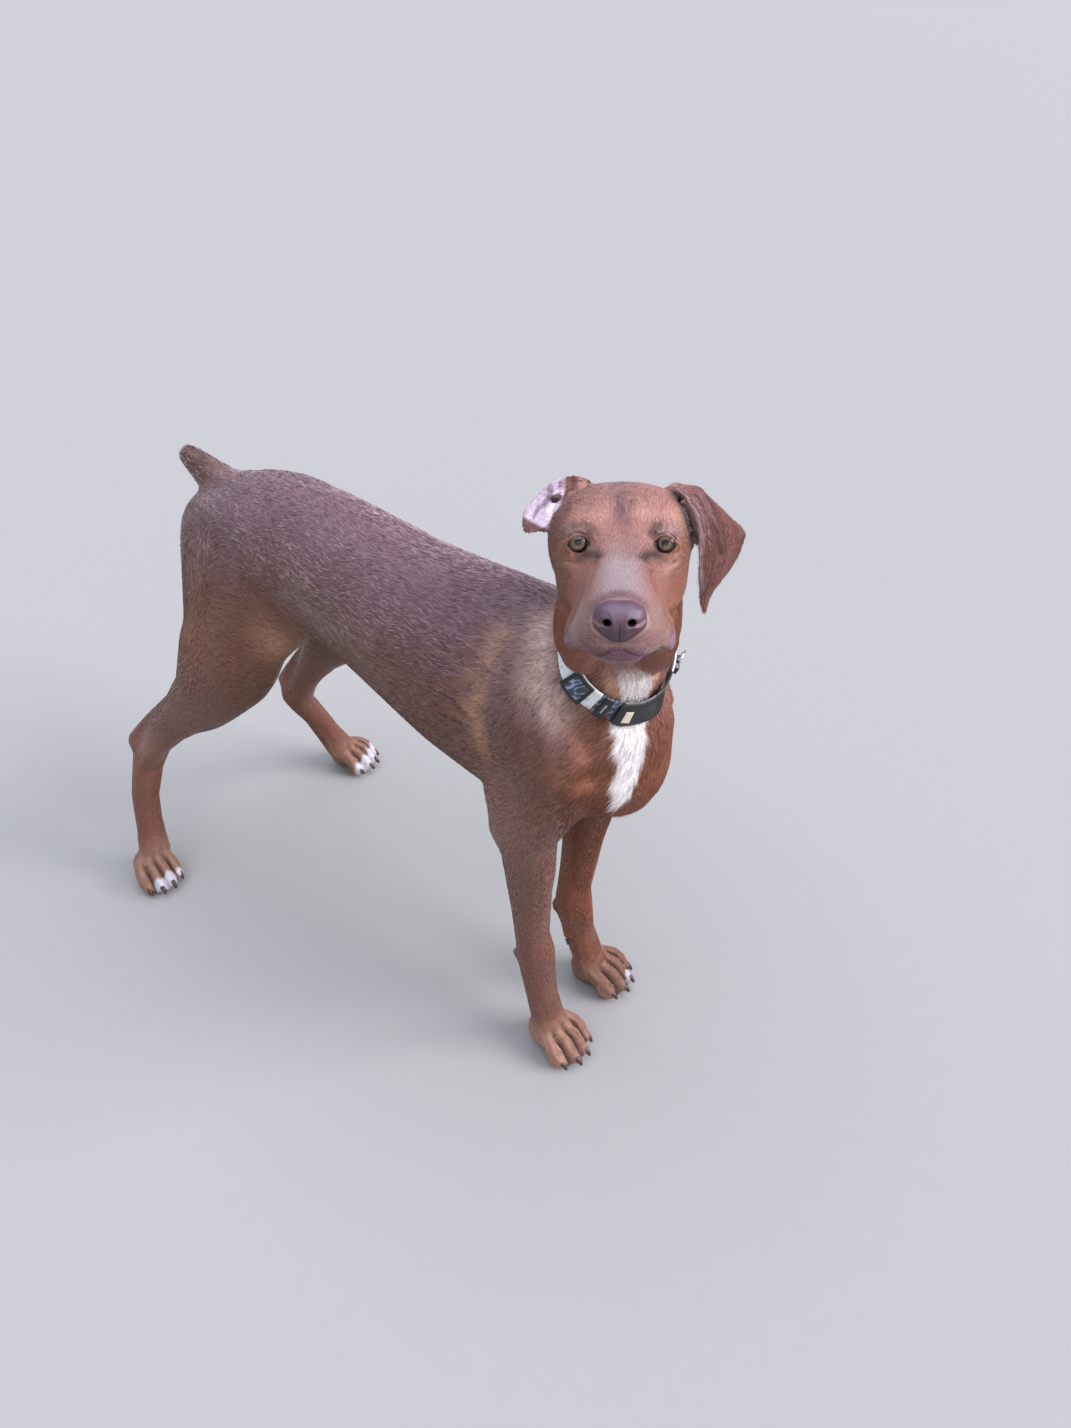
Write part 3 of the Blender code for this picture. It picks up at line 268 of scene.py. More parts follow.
class Graph:
    """A material's node graph, built one node at a time."""

    def __init__(self, name: str) -> None:
        """An empty graph with a Principled shader at its end."""
        self.material = bpy.data.materials.new(name)
        self.material.use_nodes = True
        self.tree = self.material.node_tree
        self.tree.nodes.clear()
        end = self.add("ShaderNodeOutputMaterial")
        self.shader = self.add("ShaderNodeBsdfPrincipled")
        self.tree.links.new(self.shader.outputs[0], end.inputs["Surface"])

    def add(self, kind: str, links: dict | None = None, values: dict | None = None, **settings):
        """Adds a node.

        Args:
            kind: The node's Blender type.
            links: Input name or number to the socket that feeds it.
            values: Input name or number to its constant.
            **settings: The node's own properties.

        Returns:
            The node.
        """
        node = self.tree.nodes.new(kind)
        for key, value in settings.items():
            setattr(node, key, value)
        for key, value in (values or {}).items():
            node.inputs[key].default_value = value
        for key, socket in (links or {}).items():
            self.tree.links.new(socket, node.inputs[key])
        return node

    def set(self, **values: object) -> None:
        """Sets constants on the shader, with underscores for spaces."""
        for key, value in values.items():
            self.shader.inputs[key.replace("_", " ")].default_value = value

    def feed(self, key: str, socket: bpy.types.NodeSocket) -> None:
        """Links a socket into the shader."""
        self.tree.links.new(socket, self.shader.inputs[key])

    def place(self) -> bpy.types.NodeSocket:
        """The piece's own coordinates."""
        return self.add("ShaderNodeTexCoord").outputs["Object"]

    def markings(self) -> bpy.types.NodeSocket:
        """The colours stored on the mesh."""
        return self.add("ShaderNodeVertexColor", layer_name="markings").outputs["Color"]

    def math(self, operation: str, *terms: bpy.types.NodeSocket | float) -> bpy.types.NodeSocket:
        """The result of an operation on sockets and numbers."""
        links = {k: term for k, term in enumerate(terms) if isinstance(term, bpy.types.NodeSocket)}
        values = {k: term for k, term in enumerate(terms) if k not in links}
        return self.add("ShaderNodeMath", links, values, operation=operation).outputs[0]

    def shaded(
        self, colour: bpy.types.NodeSocket, height: bpy.types.NodeSocket, reach: float,
        low: float, high: float,
    ) -> None:
        """Feeds in a colour, low times as bright at a height of -reach and high times at reach."""
        spread = {"From Min": -reach, "From Max": reach, "To Min": low, "To Max": high}
        shade = self.add("ShaderNodeMapRange", {"Value": height}, spread).outputs["Result"]
        lit = self.add("ShaderNodeVectorMath", {0: colour, "Scale": shade}, operation="SCALE")
        self.feed("Base Color", lit.outputs[0])

    def noise(self, scale: float, where: bpy.types.NodeSocket | None = None, detail: float = 4.0):
        """A noise texture over the piece's own coordinates."""
        where = where or self.place()
        values = {"Scale": scale, "Detail": detail, "Roughness": 0.6}
        return self.add("ShaderNodeTexNoise", {"Vector": where}, values)

    def bumped(self, height: bpy.types.NodeSocket, strength: float, depth: float) -> None:
        """Feeds a height into the shader's normal, depth in metres."""
        values = {"Strength": strength, "Distance": depth}
        bump = self.add("ShaderNodeBump", {"Height": height}, values)
        self.feed("Normal", bump.outputs["Normal"])


@dataclass(frozen=True)
class PlainFinish:
    """One even colour, a little uneven in gloss and surface, as moulded or worked parts are."""

    name: str
    colour: str
    roughness: float
    grain: float
    relief: float
    metallic: float = 0.0

    def material(self) -> bpy.types.Material:
        """Builds the material."""
        g = Graph(self.name)
        g.set(Base_Color=linear(self.colour), Metallic=self.metallic)
        grain = g.noise(self.grain)
        rough = g.add(
            "ShaderNodeMapRange", {"Value": grain.outputs["Fac"]},
            {"To Min": self.roughness * 0.85, "To Max": self.roughness * 1.15},
        )
        g.feed("Roughness", rough.outputs["Result"])
        g.bumped(grain.outputs["Fac"], 0.3, self.relief)
        return g.material


@dataclass(frozen=True)
class HairFinish:
    """Short glossy dog hair: its colour rides on the mesh, its gloss is soft and broad."""

    name: str
    roughness: float
    relief: float
    sheen: float

    def material(self) -> bpy.types.Material:
        """Builds the material."""
        g = Graph(self.name)
        g.feed("Base Color", g.markings())
        g.set(Roughness=self.roughness, Specular_IOR_Level=0.35, Sheen_Weight=self.sheen)
        if self.relief:
            lie = g.add("ShaderNodeAttribute", attribute_name="lie_share")
            where = g.place()
            shares = g.add("ShaderNodeSeparateXYZ", {0: lie.outputs["Vector"]})
            heights = []
            for axis in range(3):
                squeeze = [1.0, 1.0, 1.0]
                squeeze[axis] = 0.12
                stretched = g.add("ShaderNodeMapping", {"Vector": where})
                stretched.inputs["Scale"].default_value = squeeze
                streaks = g.noise(1400.0, stretched.outputs["Vector"], 3.0)
                heights.append(g.math("MULTIPLY", streaks.outputs["Fac"], shares.outputs[axis]))
            total = g.math("ADD", g.math("ADD", *heights[:2]), heights[2])
            g.bumped(total, 0.8, self.relief)
        return g.material


# ---------------------------------------------------------------- places on the dog


class Leg(Enum):
    """The four legs, named as the nodes are."""

    FRONT_LEFT = "front_left"
    FRONT_RIGHT = "front_right"
    HIND_LEFT = "hind_left"
    HIND_RIGHT = "hind_right"


# Where the camera stands, which is what the dog looks at, in the body's frame
CAMERA_PLACE: Place = (-0.659, -0.404, 1.145)

# Where the head's own frame sits in the body's, and the left eye in the head's
HEAD_PLACE = np.array([-0.0398, -0.0426, 0.7196])
EYE_LOCAL = np.array([0.0, 0.01, 0.0002])
EYE_RADIUS = 0.0108
EYE_ACROSS = 0.0347
# Angle from the head's level down to the nose, from between the eyes
NOSE_DROP = math.atan2(0.0367, 0.098)

# Middle of each paw, how far its toes turn out in degrees, and its scale
PAWS: dict[Leg, tuple[float, float, float, float]] = {
    Leg.FRONT_RIGHT: (-0.053, 0.002, 4.0, 1.0),
    Leg.FRONT_LEFT: (0.058, 0.012, 10.0, 1.0),
    Leg.HIND_RIGHT: (-0.166, 0.622, 12.0, 0.95),
    Leg.HIND_LEFT: (0.176, 0.562, 14.0, 0.95),
}

def other_side(path: Path) -> Path:
    """A path mirrored onto the dog's other side."""
    return tuple((-x, y, z) for x, y, z in path)


# Lines that the hair follows, in the body's frame: points from root to end, and reach
FLOWS: tuple[tuple[Path, float], ...] = (
    # Back, both flanks, belly and tail
    (((0.0, 0.02, 0.56), (0.0, 0.2, 0.57), (0.01, 0.38, 0.57), (0.03, 0.55, 0.56)), 0.1),
    (((-0.07, 0.05, 0.47), (-0.07, 0.22, 0.46), (-0.05, 0.4, 0.47)), 0.06),
    (((0.07, 0.05, 0.47), (0.08, 0.22, 0.46), (0.08, 0.4, 0.47)), 0.06),
    (((0.0, 0.0, 0.39), (0.0, 0.2, 0.4), (0.02, 0.4, 0.45)), 0.06),
    (((0.03, 0.53, 0.565), (0.03, 0.61, 0.598)), 0.035),
    # Nape, both sides of the neck and the chest
    (((0.03, 0.03, 0.69), (0.01, 0.05, 0.63), (0.0, 0.1, 0.6)), 0.05),
    (((-0.035, -0.02, 0.62), (-0.06, 0.02, 0.54), (-0.065, 0.03, 0.46)), 0.05),
    (((0.05, -0.02, 0.62), (0.06, 0.02, 0.54), (0.07, 0.03, 0.46)), 0.05),
    (((-0.02, -0.06, 0.62), (0.005, -0.07, 0.54), (0.0, -0.07, 0.45), (0.0, -0.03, 0.4)), 0.05),
    # Legs: right and left foreleg, right and left hind leg
    (
        ((-0.07, -0.0, 0.45), (-0.062, 0.044, 0.354), (-0.054, 0.032, 0.158), (-0.053, 0.0, 0.05),
         (-0.055, -0.05, 0.01)),
        0.035,
    ),
    (
        ((0.08, -0.0, 0.45), (0.064, 0.043, 0.352), (0.036, 0.04, 0.15), (0.058, 0.01, 0.05),
         (0.065, -0.04, 0.01)),
        0.035,
    ),
    (
        ((-0.03, 0.5, 0.53), (-0.075, 0.5, 0.4), (-0.1, 0.64, 0.23), (-0.1, 0.68, 0.184),
         (-0.16, 0.635, 0.06), (-0.18, 0.57, 0.01)),
        0.045,
    ),
    (
        ((0.09, 0.5, 0.53), (0.115, 0.48, 0.39), (0.12, 0.58, 0.22), (0.118, 0.61, 0.185),
         (0.17, 0.575, 0.06), (0.19, 0.51, 0.01)),
        0.045,
    ),
)

# The same in the head's frame: bridge and crown, cheeks, chin, brows and the two flaps
CHEEK_FLOW: Path = (
    (0.022, -0.085, -0.045), (0.034, -0.04, -0.045), (0.048, 0.02, -0.035), (0.05, 0.08, -0.05),
)
BROW_FLOW: Path = ((0.02, -0.02, 0.005), (0.03, 0.02, 0.022), (0.04, 0.05, 0.02))
HEAD_FLOWS: tuple[tuple[Path, float], ...] = (
    (
        ((0.0, -0.1, -0.025), (0.0, -0.05, -0.008), (0.0, 0.0, 0.015), (0.0, 0.05, 0.035),
         (0.0, 0.1, 0.02)),
        0.02,
    ),
    (CHEEK_FLOW, 0.02),
    (other_side(CHEEK_FLOW), 0.02),
    (((0.0, -0.085, -0.075), (0.0, -0.04, -0.08), (0.0, 0.03, -0.085)), 0.02),
    (BROW_FLOW, 0.012),
    (other_side(BROW_FLOW), 0.012),
    (
        ((0.042, 0.05, 0.04), (0.065, 0.055, 0.028), (0.085, 0.058, 0.0), (0.082, 0.05, -0.035),
         (0.071, 0.045, -0.067)),
        0.014,
    ),
    (
        ((-0.045, 0.055, 0.025), (-0.06, 0.066, 0.025), (-0.075, 0.078, 0.012), (-0.083, 0.1, 0.0),
         (-0.068, 0.118, -0.008)),
        0.012,
    ),
)


@dataclass
class Anatomy:
    """Where the dog's parts are in the row's frame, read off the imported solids."""

    axes: Array = field(init=False)
    origin: Array = field(init=False)
    shift: Array = field(init=False)

    def __post_init__(self) -> None:
        """Finds the head's frame from the two eyes and the nose."""
        left, right, nose = (self.middle(node) for node in ("eye_left", "eye_right", "nose"))
        across = unit(left - right)
        ahead = nose - (left + right) / 2
        ahead = unit(ahead - across * (ahead @ across))
        down = np.cross(across, ahead)
        back = -math.cos(NOSE_DROP) * ahead + math.sin(NOSE_DROP) * down
        up = -math.sin(NOSE_DROP) * ahead - math.cos(NOSE_DROP) * down
        self.axes = np.stack([across, back, up], 1)
        self.origin = (left + right) / 2 - self.axes @ EYE_LOCAL
        self.shift = self.origin - HEAD_PLACE

    @staticmethod
    def middle(node: str) -> Array:
        """Middle of a node's box."""
        low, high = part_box(node)
        return np.array((low + high) / 2)

    def to_head(self, points: Array) -> Array:
        """Places in the head's own frame: left, back and up from between the eyes."""
        return (points - self.origin) @ self.axes

    def from_head(self, points: Array) -> Array:
        """Places in the row's frame from the head's own."""
        return np.asarray(points, float) @ self.axes.T + self.origin

    def to_body(self, points: Array) -> Array:
        """Places in the frame the body's places are given in."""
        return points - self.shift

    def paw_matrix(self, leg: Leg) -> Array:
        """The paw's frame, toes to -Y, as a 4 by 4 matrix in the row's frame."""
        x, y, toe_out, scale = PAWS[leg]
        sign = -1 if x > 0 else 1
        turn = Matrix.Rotation(math.radians(toe_out) * -sign, 4, "Z") @ Matrix.Scale(scale, 4)
        return np.array(Matrix.Translation(Vector((x, y, 0)) + Vector(self.shift)) @ turn)

    def to_paw(self, points: Array, leg: Leg) -> Array:
        """Places in a paw's frame."""
        inverse = np.linalg.inv(self.paw_matrix(leg))
        return points @ inverse[:3, :3].T + inverse[:3, 3]

    def headness(self, points: Array) -> Array:
        """1 on the head and ears, 0 on the body."""
        local = self.to_head(points)
        reach = np.linalg.norm((local - np.array([0, 0.0, -0.01])) / np.array([1.0, 1.15, 1.0]), axis=1)
        return np.maximum(1 - ramp(reach, 0.105, 0.135), self.earness(local))

    @staticmethod
    def earness(local: Array) -> Array:
        """1 round the two flaps of the ears, 0 elsewhere, at places in the head's frame."""
        x, y, z = local.T
        left = (x > 0.046) & (y > 0.02) & ((z > -0.02) | ((x > 0.06) & (y < 0.085) & (z > -0.076)))
        right = (x < -0.04) & (y > 0.02) & (z > -0.022)
        return ((left | right) & (np.linalg.norm(local, axis=1) < 0.16)) * 1.0

    def flow(self, points: Array) -> Array:
        """Direction in which the hair lies, before it is laid onto the skin."""
        total = np.zeros_like(points)
        head = self.to_head(points)
        body = self.to_body(points)
        for lines, where, axes in ((FLOWS, body, np.eye(3)), (HEAD_FLOWS, head, self.axes)):
            for path, reach in lines:
                line = np.array(path)
                for a, b in zip(line, line[1:]):
                    gap, _ = path_gap(where, (a, b))
                    weight = 1 / (gap / reach + 0.15) ** 4
                    total += weight[:, None] * (axes @ unit(b - a))
        return unit(total)


# ---------------------------------------------------------------- markings


@dataclass(frozen=True)
class Palette:
    """Colours of the coat and bare skin, and of the light and shade painted on them, as sRGB codes."""

    # Top of the back: the coat's own tone with a painted sheen of sky light
    back: str = "#60444a"
    side: str = "#5c3929"
    belly: str = "#63402f"
    leg: str = "#693f30"
    # Painted sheen on the rounds of upper foreleg, thigh and heel
    painted_sheen: str = "#8a5c4e"
    # Painted shade on the inward-facing sides of the legs
    inner_leg_shade: str = "#623823"
    toe_white: str = "#b6b4bc"
    paw: str = "#94705c"
    gold: str = "#ab8064"
    pale: str = "#cfb3a6"
    chest: str = "#8b5337"
    face: str = "#8e6158"
    # Golden brown of the cheeks, also laid as painted light and shade
    cheek_and_painted_light: str = "#854c2f"
    # Grey of the nose's bridge with a painted highlight, also laid as painted highlights and a painted lit
    # side
    grey_and_highlight: str = "#9a8a8c"
    pad: str = "#8d7268"
    stripe: str = "#694548"
    dark: str = "#38211f"
    rim: str = "#1d1214"
    lip: str = "#72495a"
    lobe: str = "#80606f"
    white: str = "#f4f0ee"
    cream: str = "#dcb08a"
    ear: str = "#744943"
    tips: str = "#dcc3c6"
    # Painted highlight on the forehead
    painted_highlight: str = "#ae8070"
    inner_ear: str = "#efdaea"
    inner_shade: str = "#957784"


@dataclass(frozen=True)
class Patch:
    """One oval patch of colour: its tone, strongest share, middle and radii."""

    tone: str
    share: float
    middle: Place
    radii: Place
    both: bool = True

    def cover(self, where: Array) -> Array:
        """Its share at each place, on both sides or on its own one only."""
        return self.share * bell(folded(where) if self.both else where, self.middle, self.radii)


@dataclass(frozen=True)
class Line:
    """One soft line of colour: its tone, strongest share, path and half width."""

    tone: str
    share: float
    path: Path
    width: float
    both: bool = True

    def cover(self, where: Array) -> Array:
        """Its share at each place, on both sides or on its own one only."""
        return self.share * fading(folded(where) if self.both else where, self.path, self.width)


# Painted sheen: paler patches standing for highlights on the round upper foreleg, thigh and heel
SHEEN_MARKS: tuple[Patch, ...] = (
    Patch("painted_sheen", 0.6, (0.09, 0.04, 0.4), (0.04, 0.05, 0.07)),
    Patch("painted_sheen", 0.45, (0.1, 0.5, 0.43), (0.04, 0.06, 0.07)),
    Patch("painted_sheen", 0.65, (0.112, 0.64, 0.2), (0.035, 0.05, 0.045)),
)

# Bands of paler hair behind the shoulder and down the neck, partly the hair's own tone and partly a painted
# sheen where the hair lies another way, given on the right side
PALE_BANDS: tuple[Line, ...] = (
    Line(
        "gold", 0.75,
        ((-0.048, 0.077, 0.59), (-0.064, 0.08, 0.565), (-0.079, 0.083, 0.525), (-0.084, 0.077, 0.48)),
        0.012, False,
    ),
    Line(
        "pale", 0.85,
        ((-0.0305, 0.035, 0.605), (-0.052, 0.03, 0.589), (-0.063, 0.024, 0.566), (-0.0616, 0.0, 0.548)),
        0.019, False,
    ),
)

# The white blaze from throat to breastbone, and its half width at each of these places
BLAZE_PATH: Path = (
    (-0.036, -0.051, 0.6), (-0.0265, -0.0575, 0.582), (-0.0215, -0.059, 0.566),
    (-0.0265, -0.057, 0.534), (-0.033, -0.06, 0.49), (-0.04, -0.057, 0.456),
    (-0.045, -0.052, 0.438),
)
BLAZE_WIDTHS: tuple[float, ...] = (0.0085, 0.0135, 0.0165, 0.017, 0.013, 0.0095, 0.003)

# Cream stripes beside the blaze on the throat
THROAT_STRIPES: tuple[Path, ...] = (
    ((-0.048, -0.037, 0.602), (-0.045, -0.042, 0.586), (-0.04, -0.047, 0.567)),
    ((-0.02, -0.0645, 0.605), (-0.012, -0.0665, 0.59), (-0.006, -0.067, 0.576)),
)

# On the head, in its own frame: painted highlights on the forehead, and cheeks with painted shade down the
# furrow from the eye
CHEEK_MARKS: tuple[Patch | Line, ...] = (
    # Painted highlights on the forehead
    Patch("painted_highlight", 0.75, (0.0165, 0.008, 0.022), (0.009, 0.014, 0.011)),
    Patch("painted_highlight", 0.6, (0.04, 0.012, 0.02), (0.012, 0.014, 0.009)),
    Patch("gold", 0.5, (0.042, -0.006, -0.02), (0.01, 0.016, 0.008)),
    # Painted shade down the furrow from the inner eye to the corner of the mouth
    Line(
        "cheek_and_painted_light", 0.75,
        ((0.0213, -0.03, -0.0088), (0.0265, -0.046, -0.018), (0.03, -0.056, -0.03),
         (0.036, -0.05, -0.045)),
        0.0055,
    ),
    Patch("dark", 0.3, (0.0412, -0.0046, -0.0237), (0.004, 0.007, 0.009)),
)

# Brows, the corners of the eyes, painted shade in the hollows round the lids, and painted highlights under
# the eyes and on the brows
EYE_MARKS: tuple[Patch | Line, ...] = (
    Patch("dark", 0.62, (0.0258, 0.0, 0.011), (0.0046, 0.01, 0.0056)),
    Line("dark", 0.5, ((0.0235, -0.002, 0.008), (0.0265, 0.0004, 0.013), (0.031, 0.003, 0.0162)), 0.0024),
    Line(
        "dark", 0.95,
        ((0.029, -0.0065, -0.0052), (0.025, -0.012, -0.005), (0.021, -0.017, -0.0035),
         (0.0175, -0.023, -0.0042)),
        0.0051,
    ),
    # Painted shade in the hollows over and under the lid
    Patch("dark", 0.28, (0.035, -0.002, 0.0085), (0.011, 0.01, 0.0022)),
    Patch("dark", 0.45, (0.034, -0.008, -0.01), (0.01, 0.012, 0.0028)),
    # Painted highlights under the eye and on the brow
    Patch("grey_and_highlight", 0.22, (0.035, -0.007, -0.017), (0.012, 0.012, 0.0036)),
    Patch("grey_and_highlight", 0.42, (0.0385, 0.004, 0.012), (0.009, 0.01, 0.004)),
)

# The hanging corners of the lips, the pads' sides in painted light, warm and darker on the left and cool and
# paler on the right, and the chin
LIP_MARKS: tuple[Patch | Line, ...] = (
    Patch("lobe", 1.8, (0.04, -0.047, -0.066), (0.008, 0.013, 0.0075)),
    # Painted light on the pads: a warm shade on the left, a cool lit tone on the right
    Patch("cheek_and_painted_light", 0.6, (0.03, -0.06, -0.044), (0.01, 0.02, 0.014), False),
    Patch("grey_and_highlight", 0.4, (-0.03, -0.064, -0.046), (0.01, 0.018, 0.014), False),
    Line("dark", 0.45, ((0.027, -0.066, -0.063), (0.033, -0.056, -0.0585), (0.04, -0.044, -0.0575)), 0.0022),
    Patch("lip", 1.2, (0.0, -0.08, -0.069), (0.016, 0.013, 0.006)),
)

# The left flap: its crease, its front rim, and the shaded hollow where it meets the skull
FLAP_CREASE: Path = (
    (0.0661, 0.0476, 0.0309), (0.0722, 0.0404, 0.0171), (0.0789, 0.0406, 0.002),
    (0.0838, 0.0437, -0.0154),
)
FLAP_RIM: Path = (
    (0.0402, 0.0465, 0.0414), (0.0504, 0.036, 0.0342), (0.0597, 0.0329, 0.0214),
    (0.064, 0.0304, 0.004), (0.0634, 0.0302, -0.0187), (0.0663, 0.0345, -0.043),
)
FLAP_HOLLOW: Path = (
    (0.0425, 0.042, 0.0325), (0.046, 0.0405, 0.0275), (0.05, 0.036, 0.02),
    (0.053, 0.031, 0.012), (0.0555, 0.0315, 0.002),
)
# Painted highlight along the flap's front rim, and painted shadow in the hollow behind it
FLAP_MARKS: tuple[Line, ...] = (
    Line("grey_and_highlight", 0.45, FLAP_RIM, 0.0035, False),
    Line("dark", 1.3, FLAP_HOLLOW, 0.0056, False),
    Line("rim", 0.7, FLAP_HOLLOW, 0.0034, False),
)

# White toes of each paw, counted from 0 on the dog's right, and how far up each is white
WHITE_TOES: dict[Leg, tuple[tuple[int, float], ...]] = {
    Leg.HIND_RIGHT: ((1, 0.016), (2, 0.018), (3, 0.01)),
    Leg.HIND_LEFT: ((0, 0.012), (1, 0.02), (2, 0.02), (3, 0.016)),
    Leg.FRONT_LEFT: ((2, 0.011),),
}


@dataclass
class Markings:
    """The dog's colours as a function of place, with painted light and shade, shared by skin and coat."""

    places: Anatomy
    palette: Palette = field(default_factory=Palette)
    colour: Array = field(init=False)

    def paint(self, points: Array, normals: Array) -> Array:
        """Colours at places on the skin.

        Args:
            points: Places in the row's frame.
            normals: Outward directions there.

        Returns:
            Linear colours, one row of four to a place.
        """
        body = self.places.to_body(points)
        self.colour = np.tile(np.array(linear(self.palette.side)), (len(points), 1))
        drift = waves(points, 0.09, 3) * 0.5
        # The hair of the back that faces up is greyer and more purple: partly its own tone, partly a painted
        # sheen of sky light
        high = ramp(body[:, 2] + 0.02 * drift, 0.46, 0.59) * ramp(normals[:, 2], -0.25, 0.6)
        self.lay("back", high)
        self.lay("belly", ramp(normals[:, 2], -0.1, -0.8) * ramp(body[:, 2], 0.3, 0.4))
        low = 1 - ramp(body[:, 2] + 0.02 * drift, 0.2, 0.4)
        self.lay("leg", low * 0.9)
        # Painted shade on the inward-facing sides of the legs
        inner = ramp(-normals[:, 0] * np.sign(body[:, 0]), 0.0, 0.7) * low
        self.lay("inner_leg_shade", 0.7 * inner)
        front = (1 - ramp(body[:, 1], -0.045, 0.015)) * ramp(body[:, 2], 0.36, 0.44)
        front *= 1 - 0.4 * ramp(-body[:, 0], 0.05, 0.08)
        self.lay("chest", front * 0.85)
        # Painted sheen on the upper forelegs, thighs and heels
        self.lay_all(SHEEN_MARKS, body)
        self.bands(body)
        tail = ramp(body[:, 1], 0.53, 0.56) * ramp(body[:, 2], 0.53, 0.56)
        self.lay("side", 0.8 * tail)
        self.lay("dark", 0.55 * tail)
        # The far, left foreleg lighter and warmer: painted light
        self.lay("cheek_and_painted_light", 0.55 * low * ramp(body[:, 0], 0.0, 0.02) * (body[:, 1] < 0.2))
        self.lay("paw", (1 - ramp(body[:, 2], 0.03, 0.075)) * 0.8)
        nearest = (body[:, 0] < -0.01) & (body[:, 1] < 0.2)
        self.lay("side", 0.35 * (1 - ramp(body[:, 2], 0.03, 0.075)) * (~nearest))
        self.lay_blaze(body)
        self.head(points, normals)
        self.toes(points)
        return self.colour

    def lay(self, name: str, share: Array) -> None:
        """Lays one of the palette's colours over what is there."""
        tone = np.array(linear(getattr(self.palette, name)))
        share = np.clip(share, 0, 1)[:, None]
        self.colour = self.colour * (1 - share) + tone * share

    def lay_all(self, marks: Sequence[Patch | Line], where: Array, share: Array | float = 1.0) -> None:
        """Lays a list of marks one over another."""
        for mark in marks:
            self.lay(mark.tone, share * mark.cover(where))

    def bands(self, body: Array) -> None:
        """Paler hair, partly a painted sheen, down the neck's side and behind the shoulder, and painted
        shade in the heel hollows.
        """
        streak = 0.75 + 0.25 * waves(body * np.array([1.0, 1.0, 0.5]), 0.009, 17)
        for sign in (1, -1):
            side = body * np.array([sign, 1, 1])
            self.lay_all(PALE_BANDS, side, streak)
        # Painted shade in the hollows in front of the heels
        for hollow in HEEL_STROKES:
            self.lay("dark", 0.22 * fading(body, hollow.path, 0.0055))
        self.lay("gold", 0.6 * fading(body, ((-0.07, 0.36, 0.435), (-0.05, 0.4, 0.455)), 0.022))

    def lay_blaze(self, body: Array) -> None:
        """White from the throat down the chest, ragged at its edges."""
        gap, along = path_gap(body, BLAZE_PATH)
        last = len(BLAZE_WIDTHS) - 1
        width = np.interp(along * last, range(last + 1), BLAZE_WIDTHS)
        ragged = gap + 0.0016 * waves(body * np.array([1, 1, 0.4]), 0.008, 11)
        for stripe in THROAT_STRIPES:
            self.lay("cream", 0.95 * fading(body, stripe, 0.0068, 4))
        self.lay("white", 1 - ramp(ragged - width, -0.0015, 0.002))

    def head(self, points: Array, normals: Array) -> None:
        """Face, muzzle, lids, lips and ears."""
        local = self.places.to_head(points)
        on = self.places.headness(points)
        self.face(local, on)
        self.muzzle(local, on)
        self.freckles(local, on)
        self.lids(local, on)
        self.lips(local, on)
        self.ears(local, normals @ self.places.axes)

    def face(self, local: Array, on: Array) -> None:
        """Forehead with its middle stripe and painted highlights, and cheeks with painted shade down their
        furrows.
        """
        x, y, z = folded(local).T
        drift = waves(local, 0.025, 5) * 0.5
        self.lay("face", on * (1 - ramp(y, 0.07, 0.11)) * 0.95)
        cheek_and_painted_light = ramp(x, 0.022, 0.04) * ramp(y, -0.06, -0.03) * (1 - ramp(z, -0.004, 0.012))
        self.lay("cheek_and_painted_light", on * cheek_and_painted_light * (0.85 + 0.15 * drift))
        self.lay("belly", on * 0.28 * ramp(x, 0.034, 0.052) * (1 - ramp(y, 0.03, 0.05)))
        self.lay_all(CHEEK_MARKS, local, on)
        off_middle = local[:, 0] + 0.001
        centre = np.exp(-((off_middle / 0.0085) ** 2))
        self.lay("stripe", on * 0.75 * centre * ramp(y, -0.008, 0.008) * ramp(z, 0.01, 0.02))
        self.lay("dark", on * 0.14 * np.exp(-((off_middle / 0.004) ** 2)) * ramp(z, 0.016, 0.026))

    def muzzle(self, local: Array, on: Array) -> None:
        """Grey bridge of the nose, partly a painted highlight on its top, the shade round the nose leather,
        and the pads.
        """
        x, y, z = folded(local).T
        wide = np.clip(0.0165 - 0.06 * (y + 0.03), 0.008, 0.03)
        # The top of the bridge grey: its own grey with a painted highlight of the light from above
        grey_and_highlight = np.exp(-((x / wide) ** 3)) * (1 - ramp(y, -0.044, 0.002)) * ramp(z, -0.046, -0.02)
        self.lay("grey_and_highlight", on * grey_and_highlight * 0.85)
        self.lay("stripe", on * 0.55 * bell(local, (0.0, -0.0795, -0.0187), (0.0065, 0.003, 0.0028)))
        rim = np.hypot(x / 0.0215, (z + 0.0365) / 0.0172)
        self.lay("stripe", on * 0.8 * (y < -0.07) * (1 - ramp(rim, 1.02, 1.2)))
        self.lay("pad", on * (1 - ramp(y, -0.062, -0.04)) * (1 - ramp(z, -0.034, -0.026)) * 0.75)
        self.lay("lip", on * 0.35 * (1 - ramp(y, -0.084, -0.074)) * (1 - ramp(z, -0.048, -0.042)))

    def freckles(self, local: Array, on: Array) -> None:
        """Dark roots of the whiskers, in rows over the pads."""
        for row in range(4):
            for k in range(6):
                x = 0.0245 + 0.0022 * k + 0.0006 * row
                y = -0.079 + 0.0062 * k
                z = -0.0405 - 0.004 * row - 0.0008 * k
                for sign in (1, -1):
                    gap = np.linalg.norm(local - np.array([sign * x, y, z]), axis=1)
                    self.lay("dark", on * 0.95 * (1 - ramp(gap, 0.0009, 0.0026)))

    def lids(self, local: Array, on: Array) -> None:
        """Brows, painted shade in the hollows, painted highlights under the eyes, and the dark edges of the
        lids.
        """
        self.lay_all(EYE_MARKS, local, on)
        x, y, z = folded(local).T
        near_eye = (y < 0.016) & (np.hypot(x - 0.035, z) < 0.016)
        self.lay("rim", near_eye * (1 - ramp(lid_reach(folded(local)), 1.06, 1.26)))

